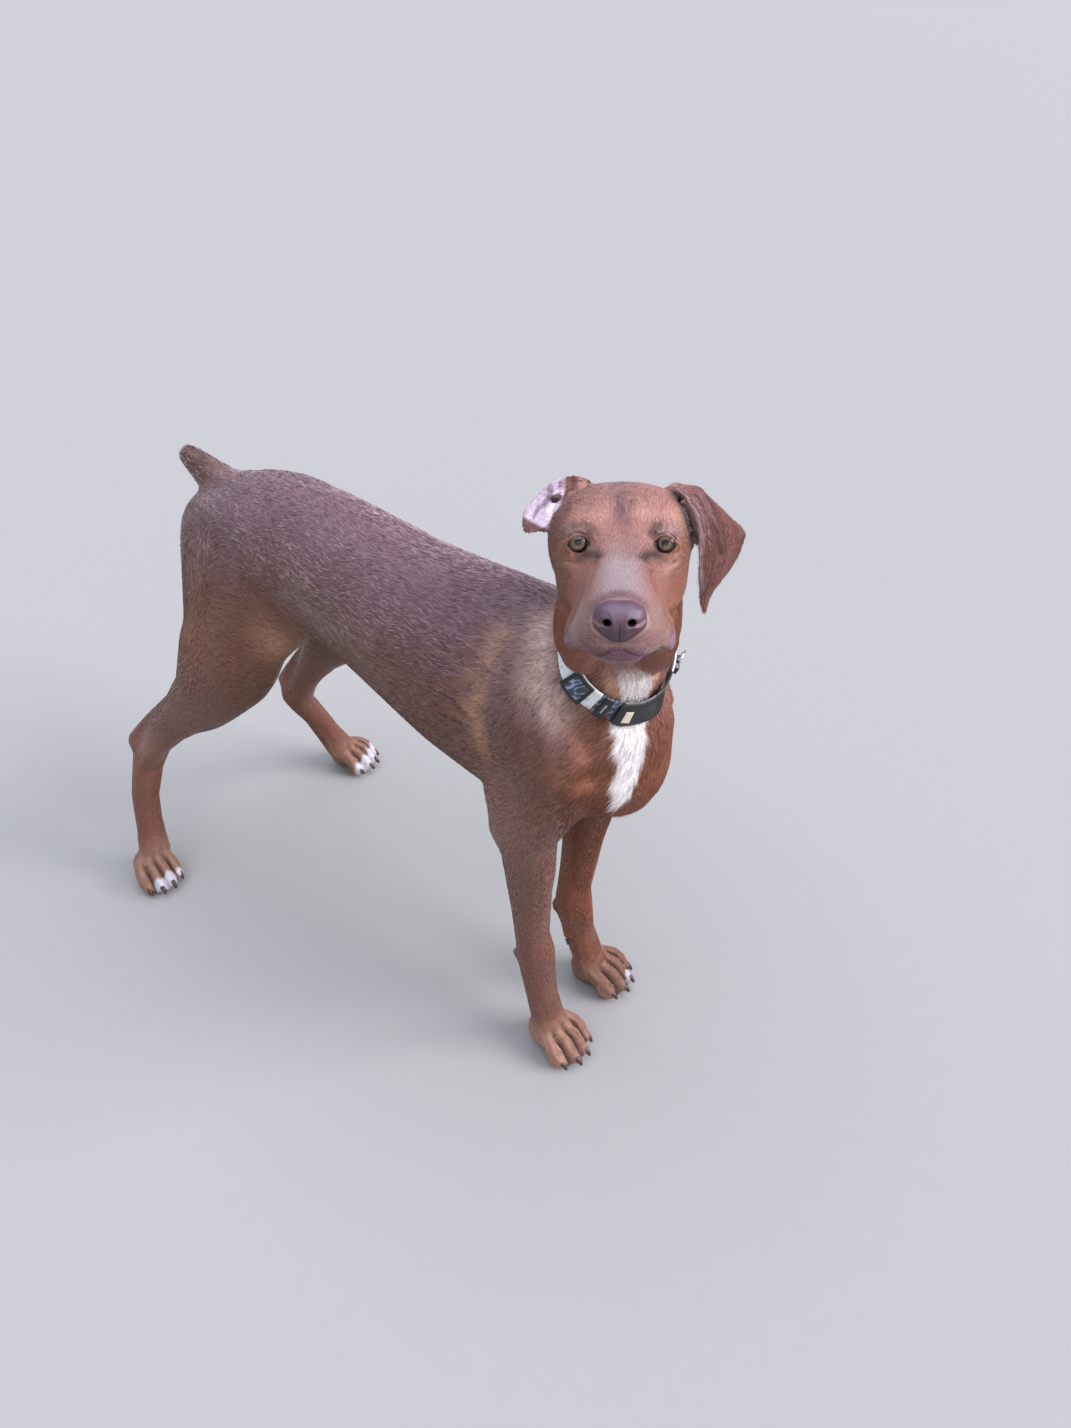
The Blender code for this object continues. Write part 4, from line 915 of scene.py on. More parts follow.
    def lips(self, local: Array, on: Array) -> None:
        """Bare lips along the mouth, their hanging corners and the dark parting."""
        gap, _ = path_gap(folded(local), mouth_line())
        below = on * (local[:, 2] < -0.045)
        self.lay("lip", below * (1 - ramp(gap, 0.0022, 0.005)))
        self.lay_all(LIP_MARKS, local, on)
        self.lay("rim", below * 0.85 * (1 - ramp(gap, 0.0005, 0.0019)))

    def ears(self, local: Array, facing: Array) -> None:
        """Both flaps, the right one showing its bare pink inside; painted shade in the left flap's crease
        and hollow and in the right ear's opening, and a painted highlight on the left flap's rim.
        """
        x, y, z = local.T
        near = self.places.earness(local)
        left = near * ramp(x, 0.05, 0.06) * ramp(y, 0.02, 0.03)
        self.lay("ear", left)
        # Painted shade in the flap's crease
        self.lay("dark", left * 0.5 * fading(local, FLAP_CREASE, 0.004))
        self.lay_all(FLAP_MARKS, local)
        right = near * ramp(-x, 0.046, 0.05) * ramp(y, 0.038, 0.044)
        self.lay("ear", right * ramp(-x, 0.05, 0.056))
        inside = right * ramp(facing @ unit(np.array([-0.45, -0.65, 0.6])), -0.05, 0.3)
        inside *= ramp(-x + 0.25 * (z - 0.03), 0.0475, 0.0515)
        inside *= 1 - ramp(y - 1.6 * z, 0.066, 0.072) * (1 - ramp(z, 0.004, 0.01))
        inside *= ramp(z, 0.0035, 0.0075)
        self.lay("inner_ear", inside)
        self.lay("inner_shade", inside * ramp(waves(local, 0.016, 41), 0.1, 1.2) * 0.8)
        self.lay("ear", right * (1 - ramp(z, 0.0035, 0.0072)) * ramp(-x, 0.052, 0.058))
        # Painted shade in the sunken opening of the right ear
        self.lay("rim", 1.3 * bell(local, (-0.059, 0.0615, 0.026), (0.008, 0.008, 0.0024)))

    def toes(self, points: Array) -> None:
        """Painted shade in the furrows between the toes, and white tips, as many as each paw has."""
        for leg in Leg:
            local = self.places.to_paw(points, leg)
            for toe in range(3):
                gap, along = toe_furrow(local, toe)
                foot = (local[:, 2] < 0.052) * ramp(along, 0.05, 0.45)
                # Painted shade down the furrow between two toes
                self.lay("dark", 0.95 * foot * np.exp(-((gap / 0.0022) ** 2)))
        for leg, tips in WHITE_TOES.items():
            local = self.places.to_paw(points, leg)
            for toe, reach in tips:
                tip = np.array(toe_line(toe)[2]) + np.array([0, -0.003, 0.002])
                gap = np.linalg.norm((local - tip) / np.array([0.62, 1.0, 1.2]), axis=1)
                ragged = gap + 0.001 * waves(local, 0.006, 21 + toe)
                self.lay("toe_white", 1 - ramp(ragged, reach * 0.8, reach * 1.05))


def toe_line(toe: int) -> Path:
    """Knuckle, middle and tip of one toe in the paw's own frame, toes to -Y."""
    fan = (toe - 1.5) / 1.5
    inner = 1 - abs(abs(fan) - 1 / 3) * 1.5
    reach = 0.026 + 0.01 * inner
    return (
        (0.0165 * fan, 0.01, 0.034),
        (0.024 * fan, -reach * 0.5, 0.03 + 0.003 * inner),
        (0.025 * fan, -reach, 0.0135),
    )


def toe_furrow(local: Array, toe: int) -> tuple[Array, Array]:
    """Level distance to the furrow beyond a toe in the paw's frame, and how far along it."""
    _, (x1, y1, _), (x2, y2, _) = (
        (np.array(a) + np.array(b)) / 2 for a, b in zip(toe_line(toe), toe_line(toe + 1))
    )
    path = ((x1 * 0.74, 0.004, 0.0), (x1, y1, 0.0), (x2, y2, 0.0), (x2 * 1.02, y2 - 0.014, 0.0))
    return path_gap(local * np.array([1, 1, 0]), path)


def mouth_line() -> Path:
    """The parting of the lips on one side in the head's frame, from the front back."""
    return (
        (0.0, -0.0925, -0.0588),
        (0.006, -0.0915, -0.06),
        (0.011, -0.0885, -0.0632),
        (0.017, -0.0825, -0.066),
        (0.025, -0.068, -0.069),
        (0.033, -0.05, -0.0715),
        (0.038, -0.03, -0.0715),
    )


def eye_offsets(mirrored: Array) -> tuple[Array, Array]:
    """How far across and up places lie from the middle of an eye, seen along its gaze."""
    turn = math.radians(16)
    gap = mirrored - np.array([0.035, -0.004, 0.0004])
    across = gap[:, 0] * math.cos(turn) + gap[:, 1] * math.sin(turn)
    return across, gap[:, 2] + 0.1 * across


def lid_reach(mirrored: Array) -> Array:
    """1 on the edge of the lids' almond, less between them and more outside."""
    across, rise = eye_offsets(mirrored)
    corner = 1 - 0.35 * ramp(np.abs(across), 0.003, 0.0085)
    top = np.where(rise > 0, 0.0052, 0.0058)
    return np.sqrt((across / 0.0084) ** 2 + (rise / (top * corner)) ** 2)


# ---------------------------------------------------------------- skin


@dataclass(frozen=True)
class Stroke:
    """One raised or sunken line of the sculpt: its path, width and height in metres."""

    path: Path
    width: float
    height: float
    mirrored: bool = False


@dataclass(frozen=True)
class Dab:
    """One smooth push of the sculpt: where, how far it reaches, and the way it moves."""

    middle: Place
    radii: Place
    push: Place

    def move(self, where: Array) -> Array:
        """How far it moves each place."""
        return bell(where, self.middle, self.radii)[:, None] * np.array(self.push)


# Draws the neck, and the strap on it, in behind the right jaw, in the body's frame
NECK_EASE = Dab((-0.05, 0.024, 0.602), (0.03, 0.034, 0.034), (0.005, -0.0062, 0.001))

# In the head's frame, each on its own side: the throat bulges behind the lips, more on the right
ONE_SIDED_DABS: tuple[Dab, ...] = (
    Dab((-0.046, 0.014, -0.07), (0.02, 0.03, 0.022), (-0.005, 0.0, 0.0)),
    Dab((0.046, 0.014, -0.07), (0.02, 0.03, 0.022), (0.003, 0.0, 0.0)),
)

# Flesh that fills the throat behind the jaw on each side: middles and radii, from the top down
THROAT: tuple[tuple[float, float, float, float], ...] = (
    (0.036, 0.04, -0.056, 0.0202),
    (0.0375, 0.036, -0.074, 0.021),
    (0.0385, 0.036, -0.089, 0.0222),
    (0.0385, 0.043, -0.102, 0.0195),
    (0.033, 0.052, -0.114, 0.014),
    (0.024, 0.06, -0.124, 0.0095),
)

# In the head's frame, mirrored from the left side to the right
HEAD_DABS: tuple[Dab, ...] = (
    # Hanging corner of the lip, the pad before it and the flat between pad and cheek
    Dab((0.0375, -0.049, -0.064), (0.0085, 0.016, 0.0085), (0.0034, -0.001, -0.0034)),
    Dab((0.027, -0.07, -0.048), (0.012, 0.016, 0.011), (0.0026, -0.0012, 0.0)),
    Dab((0.034, -0.03, -0.03), (0.01, 0.018, 0.015), (-0.0022, 0.0, 0.0)),
    # Hollow over the lid, inner corner of the eye and cheekbone
    Dab((0.03, 0.004, 0.0165), (0.014, 0.01, 0.005), (0.0, -0.0016, 0.0008)),
    Dab((0.0235, -0.01, 0.002), (0.0045, 0.008, 0.006), (-0.0008, 0.0018, 0.0)),
    Dab((0.046, 0.004, -0.012), (0.008, 0.012, 0.008), (0.0014, -0.0006, 0.0)),
    # Front of the upper lip, and the chin
    Dab((0.013, -0.088, -0.056), (0.009, 0.007, 0.005), (0.0, -0.0014, 0.0004)),
    Dab((0.0, -0.084, -0.068), (0.014, 0.008, 0.005), (0.0, -0.0016, -0.0012)),
)

# In the head's frame, the ones that end in True on both sides
HEAD_STROKES: tuple[Stroke, ...] = (
    # Parting of the lips and the groove under the nose
    Stroke(mouth_line(), 0.0012, -0.003, True),
    Stroke(((0.0, -0.094, -0.05), (0.0, -0.093, -0.0595)), 0.0009, -0.0016),
    # Wrinkles of the forehead and the furrow down the bridge of the nose
    Stroke(((0.0045, 0.01, 0.026), (0.0075, 0.028, 0.038), (0.0082, 0.048, 0.042)), 0.0014, -0.0016),
    Stroke(((-0.0045, 0.012, 0.027), (-0.0058, 0.034, 0.0395), (-0.0035, 0.056, 0.042)), 0.0014, -0.0016),
    Stroke(((-0.012, 0.03, 0.0385), (-0.01, 0.044, 0.0415), (-0.012, 0.054, 0.042)), 0.0013, -0.0012),
    Stroke(((0.0008, 0.02, 0.035), (0.002, 0.046, 0.0425)), 0.0024, 0.001),
    Stroke(((0.0, -0.04, -0.006), (0.0, -0.015, 0.004), (0.0, 0.012, 0.026)), 0.0065, -0.0014),
    # Brow, upper lid and the bag under the lower lid
    Stroke(((0.0175, -0.006, 0.006), (0.023, 0.001, 0.013), (0.031, 0.003, 0.0165)), 0.0022, -0.001, True),
    Stroke(((0.026, 0.001, 0.01), (0.035, 0.002, 0.0108), (0.044, 0.006, 0.008)), 0.0016, 0.001, True),
    Stroke(((0.024, -0.016, -0.01), (0.033, -0.009, -0.0145), (0.045, 0.001, -0.012)), 0.0016, -0.001, True),
    # Furrow from the eye down the cheek, and the folds of the lips and pads
    Stroke(
        ((0.0205, -0.026, -0.007), (0.025, -0.0445, -0.017), (0.029, -0.06, -0.027)),
        0.004, -0.0018, True,
    ),
    Stroke(((0.03, -0.056, -0.031), (0.035, -0.05, -0.042), (0.039, -0.046, -0.053)), 0.0026, -0.002, True),
    Stroke(
        ((0.025, -0.073, -0.058), (0.032, -0.059, -0.058), (0.039, -0.044, -0.057)),
        0.0018, -0.0018, True,
    ),
    Stroke(((0.027, -0.064, -0.064), (0.032, -0.056, -0.066), (0.036, -0.04, -0.07)), 0.0018, -0.0018, True),
    Stroke(((0.029, -0.07, -0.05), (0.035, -0.058, -0.05), (0.04, -0.046, -0.048)), 0.0014, -0.001, True),
    Stroke(((0.03, -0.072, -0.044), (0.035, -0.06, -0.044), (0.039, -0.048, -0.042)), 0.0013, -0.0008, True),
    # Hanging flap: crease, front rim and the hollow behind the rim
    Stroke(((0.05, 0.055, 0.037), *FLAP_CREASE, (0.0805, 0.0419, -0.029)), 0.0034, -0.0046),
    Stroke(FLAP_RIM, 0.002, 0.0014),
    Stroke(
        ((0.047, 0.048, 0.038), (0.057, 0.04, 0.03), (0.065, 0.035, 0.017), (0.068, 0.033, 0.002)),
        0.0018, -0.0014,
    ),
    # Flipped flap: opening of the ear and the folds of its inside
    Stroke(((-0.06, 0.064, 0.027), (-0.056, 0.061, 0.0275), (-0.053, 0.06, 0.027)), 0.003, -0.008),
    Stroke(
        ((-0.082, 0.08, 0.015), (-0.07, 0.074, 0.026), (-0.058, 0.069, 0.036), (-0.05, 0.067, 0.042)),
        0.0024, 0.003,
    ),
    Stroke(((-0.084, 0.076, 0.006), (-0.074, 0.07, 0.017), (-0.066, 0.065, 0.022)), 0.0024, -0.003),
    Stroke(((-0.08, 0.068, 0.004), (-0.07, 0.06, 0.014), (-0.062, 0.054, 0.019)), 0.0024, 0.0024),
    Stroke(((-0.05, 0.06, 0.03), (-0.047, 0.061, 0.038), (-0.044, 0.064, 0.044)), 0.002, -0.002),
)

# The hollows in front of each heel's tendon
HEEL_STROKES: tuple[Stroke, ...] = (
    Stroke(((-0.105, 0.56, 0.33), (-0.114, 0.63, 0.255), (-0.112, 0.662, 0.21)), 0.0065, -0.0062),
    Stroke(((0.13, 0.53, 0.33), (0.134, 0.575, 0.255), (0.13, 0.598, 0.21)), 0.0065, -0.0062),
    Stroke(((-0.082, 0.56, 0.33), (-0.084, 0.63, 0.255), (-0.088, 0.662, 0.21)), 0.0065, -0.0062),
    Stroke(((0.108, 0.53, 0.33), (0.106, 0.575, 0.255), (0.104, 0.598, 0.21)), 0.0065, -0.0062),
)

# In the body's frame, right side and left side by turns
BODY_STROKES: tuple[Stroke, ...] = (
    # Ridge of the shoulder blade, and the grooves behind and before it
    Stroke(((-0.04, 0.075, 0.57), (-0.078, 0.055, 0.51), (-0.088, 0.01, 0.462)), 0.011, 0.0036),
    Stroke(((0.04, 0.075, 0.57), (0.082, 0.055, 0.51), (0.098, 0.01, 0.466)), 0.011, 0.0036),
    Stroke(((-0.056, 0.096, 0.57), (-0.086, 0.1, 0.5), (-0.088, 0.096, 0.44)), 0.009, -0.004),
    Stroke(((0.056, 0.096, 0.57), (0.092, 0.1, 0.5), (0.094, 0.096, 0.44)), 0.009, -0.004),
    Stroke(((-0.05, 0.048, 0.59), (-0.07, 0.03, 0.545), (-0.076, 0.004, 0.5)), 0.009, -0.0032),
    Stroke(((0.05, 0.048, 0.59), (0.074, 0.03, 0.545), (0.084, 0.004, 0.5)), 0.009, -0.0032),
    # Grooves over the elbow, down the breastbone and along the forearms
    Stroke(((-0.095, 0.055, 0.44), (-0.09, 0.07, 0.4), (-0.084, 0.066, 0.365)), 0.007, -0.0034),
    Stroke(((0.1, 0.055, 0.44), (0.096, 0.07, 0.4), (0.088, 0.064, 0.365)), 0.007, -0.0034),
    Stroke(((-0.004, -0.08, 0.48), (-0.02, -0.074, 0.44), (-0.03, -0.05, 0.4)), 0.008, -0.0026),
    Stroke(((-0.072, -0.022, 0.35), (-0.07, -0.004, 0.27), (-0.064, 0.006, 0.2)), 0.005, -0.0024),
    Stroke(((0.07, 0.012, 0.35), (0.058, 0.014, 0.27), (0.046, 0.014, 0.2)), 0.005, -0.0024),
    # Outer bone of the heel, the fold before the thigh and the thigh's muscle
    Stroke(((-0.118, 0.63, 0.205), (-0.12, 0.645, 0.18), (-0.116, 0.655, 0.155)), 0.007, 0.0022),
    Stroke(((0.136, 0.575, 0.205), (0.138, 0.59, 0.18), (0.136, 0.6, 0.155)), 0.007, 0.0022),
    Stroke(((-0.07, 0.35, 0.5), (-0.084, 0.395, 0.47), (-0.09, 0.43, 0.42)), 0.012, -0.003),
    Stroke(((0.096, 0.35, 0.5), (0.118, 0.395, 0.46), (0.126, 0.42, 0.41)), 0.012, -0.003),
    Stroke(((-0.06, 0.52, 0.5), (-0.086, 0.5, 0.44), (-0.096, 0.47, 0.39)), 0.016, 0.003),
    Stroke(((0.12, 0.52, 0.5), (0.14, 0.5, 0.44), (0.146, 0.47, 0.39)), 0.016, 0.003),
)


@dataclass
class Skin:
    """The dog's whole skin, one closed mesh in place of the nodes of flesh."""

    places: Anatomy
    markings: Markings
    voxel: float = 0.00165
    swell: float = 0.0009
    sunk: float = -0.0012
    coat_depth: float = 0.001
    lid_thickness: float = 0.0009
    separate: tuple[str, ...] = ("eye_", "nose", "_claw_", "collar_")
    fillets: tuple[tuple[Place, float], ...] = (
        ((0.044, 0.047, 0.031), 0.006),
        ((0.05, 0.044, 0.018), 0.0065),
        ((0.054, 0.042, 0.004), 0.0065),
        ((0.056, 0.04, -0.008), 0.0055),
        ((0.0575, 0.037, -0.001), 0.005),
        ((-0.037, 0.059, 0.037), 0.006),
        ((-0.044, 0.056, 0.03), 0.006),
    )
    # Share of its facets that each region keeps, in the order they are worked
    kept_shares: tuple[tuple[str, float], ...] = (
        ("trunk", 0.038), ("legs", 0.074), ("crown", 0.15),
        ("pasterns", 0.18), ("soles", 0.2), ("toes", 0.66),
    )
    piece: bpy.types.Object = field(init=False)

    def build(self, nodes: dict[str, bpy.types.Object]) -> None:
        """Melts the solids of flesh into one skin and sculpts it."""
        names = sorted(n for n in nodes if not any(key in n for key in self.separate))
        whole = bmesh.new()
        for name in [*names, "nose", "eye_left", "eye_right"]:
            bm = merged_copy(nodes[name], self.swell if name in names else self.sunk)
            part = bpy.data.meshes.new("part")
            bm.to_mesh(part)
            bm.free()
            whole.from_mesh(part)
            bpy.data.meshes.remove(part)
        for spot, radius in (*self.fillets, *self.throat_balls()):
            middle = Matrix.Translation(Vector(self.places.from_head(np.array([spot]))[0]))
            bmesh.ops.create_icosphere(whole, subdivisions=2, radius=radius, matrix=middle)
        self.piece = object_of("skin", whole)
        applied(self.piece, "REMESH", mode="VOXEL", voxel_size=self.voxel)
        self.even_out()
        self.thin()
        self.sculpt()
        for name in names:
            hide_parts(name)
        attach(self.piece, "root")

    @staticmethod
    def throat_balls() -> list[tuple[Place, float]]:
        """Balls of flesh down both sides of the throat, fuller on the right."""
        chain = np.array(THROAT)
        rows = np.concatenate([np.linspace(a, b, 6) for a, b in zip(chain, chain[1:])])
        right = [((-x, y, z), radius) for x, y, z, radius in rows]
        return right + [((x * -0.85, y, z), radius * 0.86) for (x, y, z), radius in right]

    def grouped(self, name: str, weights: Array) -> None:
        """Stores weights as a vertex group, in ten steps."""
        if name in self.piece.vertex_groups:
            self.piece.vertex_groups.remove(self.piece.vertex_groups[name])
        group = self.piece.vertex_groups.new(name=name)
        steps = np.round(weights * 10).astype(int)
        for step in range(1, 11):
            group.add(np.nonzero(steps == step)[0].tolist(), step / 10, "REPLACE")

    def pawness(self, points: Array) -> Array:
        """1 on the paws and 0 above them."""
        return 1 - ramp(self.places.to_body(points)[:, 2], 0.055, 0.085)

    def even_out(self) -> None:
        """Smooths the solids' facets away, least on head and paws."""
        points = points_of(self.piece)
        fine = np.maximum(self.places.headness(points), self.pawness(points))
        applied(self.piece, "SMOOTH", factor=0.5, iterations=3)
        self.grouped("above_paws", 1 - self.pawness(points))
        applied(self.piece, "SMOOTH", factor=0.5, iterations=6, vertex_group="above_paws")
        local = self.places.to_head(points_of(self.piece))
        gap, _ = path_gap(folded(local), [row[:3] for row in THROAT])
        throat = 1 - ramp(gap, 0.018, 0.028)
        self.grouped("throat", throat)
        applied(self.piece, "SMOOTH", factor=0.5, iterations=30, vertex_group="throat")
        leg = 1 - ramp(self.places.to_body(points)[:, 2], 0.3, 0.42)
        self.grouped("limb", (1 - fine) * (1 - 0.9 * throat) * (0.35 + 0.65 * (1 - leg)))
        applied(self.piece, "SMOOTH", factor=0.5, iterations=60, vertex_group="limb")

    def thin(self) -> None:
        """Takes facets off the plainer regions, and adds them round eyes and mouth."""
        for region, ratio in self.kept_shares:
            points = points_of(self.piece)
            head, paw = self.places.headness(points), self.pawness(points)
            local, height = self.places.to_head(points), self.places.to_body(points)[:, 2]
            plain = np.maximum(head, paw) < 0.02
            chosen = {
                "trunk": plain & (height > 0.38),
                "legs": plain & (height < 0.38),
                "crown": (head > 0.02) & (local[:, 1] > 0.02) & (self.places.earness(local) < 0.5),
                "pasterns": (paw > 0.02) & (height > 0.052),
                "soles": height < 0.012,
                "toes": (height < 0.052) & (height > 0.012),
            }[region]
            self.select(chosen)
            edited(bpy.ops.mesh.decimate, ratio=ratio)
        points = points_of(self.piece)
        self.grouped("plain", (np.maximum(self.places.headness(points), self.pawness(points)) < 0.02) * 1.0)
        applied(self.piece, "SMOOTH", factor=0.5, iterations=3, vertex_group="plain")
        local = self.places.to_head(points_of(self.piece))
        x, y, z = np.abs(local[:, 0]), local[:, 1], local[:, 2]
        eye = (np.hypot(x - 0.035, z) < 0.021) & (y < 0.022) & (y > -0.04)
        mouth = (y < -0.055) & (z < -0.051) & (y > -0.11)
        self.select(eye | mouth)
        edited(bpy.ops.mesh.subdivide, number_cuts=1)
        applied(self.piece, "TRIANGULATE")
        LOG.info("skin has %d triangles", len(self.piece.data.polygons))

    def select(self, chosen: Array) -> None:
        """Selects vertices and what they bound."""
        select_only(self.piece)
        bpy.ops.object.mode_set(mode="EDIT")
        bpy.ops.mesh.select_mode(type="VERT")
        bpy.ops.mesh.select_all(action="DESELECT")
        bpy.ops.object.mode_set(mode="OBJECT")
        self.piece.data.vertices.foreach_set("select", chosen)
        bpy.ops.object.mode_set(mode="EDIT")
        bpy.ops.mesh.select_mode(type="VERT")
        bpy.ops.object.mode_set(mode="OBJECT")

    def sculpt(self) -> None:
        """Draws the skin in to leave room for the coat, then works folds and lids into it."""
        points, normals = points_of(self.piece), normals_of(self.piece)
        points -= normals * (self.swell + self.coat_depth)
        local = self.places.to_head(points)
        mirrored = folded(local)
        height = np.zeros(len(points))
        for stroke in HEAD_STROKES:
            height += self.stroked(mirrored if stroke.mirrored else local, stroke)
        body = self.places.to_body(points)
        for stroke in (*BODY_STROKES, *HEEL_STROKES):
            height += self.stroked(body, stroke)
        points += normals * height[:, None]
        points[:, 2] -= self.toe_grooves(points)
        outward = np.ones_like(local)
        outward[:, 0] = np.sign(local[:, 0])
        for dab in HEAD_DABS:
            points += (dab.move(mirrored) * outward) @ self.places.axes.T
        for dab in ONE_SIDED_DABS:
            points += dab.move(local) @ self.places.axes.T
        points += NECK_EASE.move(self.places.to_body(points))
        for leg in Leg:
            points += self.toe_tips(points, leg)
        place_points(self.piece, points)
        self.sink_nose_bed()
        self.open_lids()
        self.keep_above_floor()

    @staticmethod
    def stroked(where: Array, stroke: Stroke) -> Array:
        """Height that one stroke adds."""
        line = np.array(stroke.path)
        reach = stroke.width * 4
        near = ((where > line.min(0) - reach) & (where < line.max(0) + reach)).all(1)
        height = np.zeros(len(where))
        gap, along = path_gap(where[near], stroke.path)
        taper = ramp(along, -0.05, 0.12) * (1 - ramp(along, 0.88, 1.05))
        height[near] = stroke.height * np.exp(-((gap / stroke.width) ** 2)) * taper
        return height

    def toe_grooves(self, points: Array) -> Array:
        """How far each place sinks into the furrows between the toes."""
        depth = np.zeros(len(points))
        for leg in Leg:
            local = self.places.to_paw(points, leg)
            for toe in range(3):
                gap, along = toe_furrow(local, toe)
                upper = ramp(local[:, 2], 0.004, 0.016) * (local[:, 2] < 0.052)
                depth += 0.0095 * np.exp(-((gap / 0.0021) ** 2)) * upper * ramp(along, 0.0, 0.35)
        return depth

    def toe_tips(self, points: Array, leg: Leg) -> Array:
        """Moves that fill each toe's end out over the root of its claw."""
        local = self.places.to_paw(points, leg)
        turn = self.places.paw_matrix(leg)[:3, :3]
        total = np.zeros_like(points)
        for toe in range(4):
            tip = np.array(toe_line(toe)[2]) + np.array([0, -0.007, 0.003])
            fill = Dab(tuple(tip), (0.0065, 0.009, 0.008), tuple(turn @ np.array([0, -0.005, 0.0012])))
            total += fill.move(local)
        return total

    def sink_nose_bed(self) -> None:
        """Hollows the skin where the nose leather sits."""
        local = self.places.to_head(points_of(self.piece))
        reach = np.hypot(local[:, 0] / 0.0178, (local[:, 2] + 0.0365) / 0.0138)
        bed = (1 - ramp(reach, 0.55, 1.0)) * (local[:, 1] < -0.078)
        local[:, 1] += 0.01 * bed
        place_points(self.piece, self.places.from_head(local))

    def open_lids(self) -> None:
        """Sinks the skin behind each eyeball between the lids and lays the lids on the ball."""
        points = points_of(self.piece)
        local = self.places.to_head(points)
        ball = np.array([EYE_ACROSS, *EYE_LOCAL[1:]])
        for sign in (1, -1):
            side = local * np.array([sign, 1, 1])
            across, rise = eye_offsets(side)
            gap = side - ball
            distance = np.linalg.norm(gap, axis=1)
            near = (distance < 0.022) & (side[:, 1] < 0.012) & (np.hypot(across, rise) < 0.018)
            opening = lid_reach(side)
            lid = EYE_RADIUS + self.lid_thickness
            wanted = np.where(opening < 1.0, 0.0085, lid + 0.0007 * ramp(opening, 1.0, 1.25))
            share = 1 - ramp(opening, 1.3, 2.0)
            radius = distance + (wanted - distance) * share
            moved = ball + gap * (radius / (distance + 1e-9))[:, None]
            side[near] = moved[near]
            local[near] = side[near] * np.array([sign, 1, 1])
        place_points(self.piece, self.places.from_head(local))

    def keep_above_floor(self) -> None:
        """Rests the pads on the floor's level."""
        points = points_of(self.piece)
        points[:, 2] = np.maximum(points[:, 2], 0.0002)
        place_points(self.piece, points)

    def dress(self) -> None:
        """Gives the skin its colours, the lie of its hair, its unwrap and its finish."""
        points, normals = points_of(self.piece), normals_of(self.piece)
        painted(self.piece, self.markings.paint(points, normals))
        lie = laid_down(self.places.flow(points), normals)
        pointed(self.piece, "lie_share", lie * lie)
        finished([self.piece], HairFinish("short_coat_skin", 0.5, 0.0003, 0.15).material())
        smooth_shaded(self.piece, 180)
        self.unwrap()

    def unwrap(self) -> None:
        """Unwraps the skin's own shape into the map that the coat shares."""
        select_only(self.piece)
        self.piece.data.uv_layers.new(name="OFBake")
        bpy.ops.object.mode_set(mode="EDIT")
        bpy.ops.mesh.select_all(action="SELECT")
        bpy.ops.uv.smart_project(angle_limit=1.15, island_margin=0.004, scale_to_bounds=True)
        bpy.ops.object.mode_set(mode="OBJECT")


def laid_down(ways: Array, normals: Array) -> Array:
    """Directions laid onto the skin."""
    return unit(ways - normals * (ways * normals).sum(1)[:, None])


# ---------------------------------------------------------------- coat


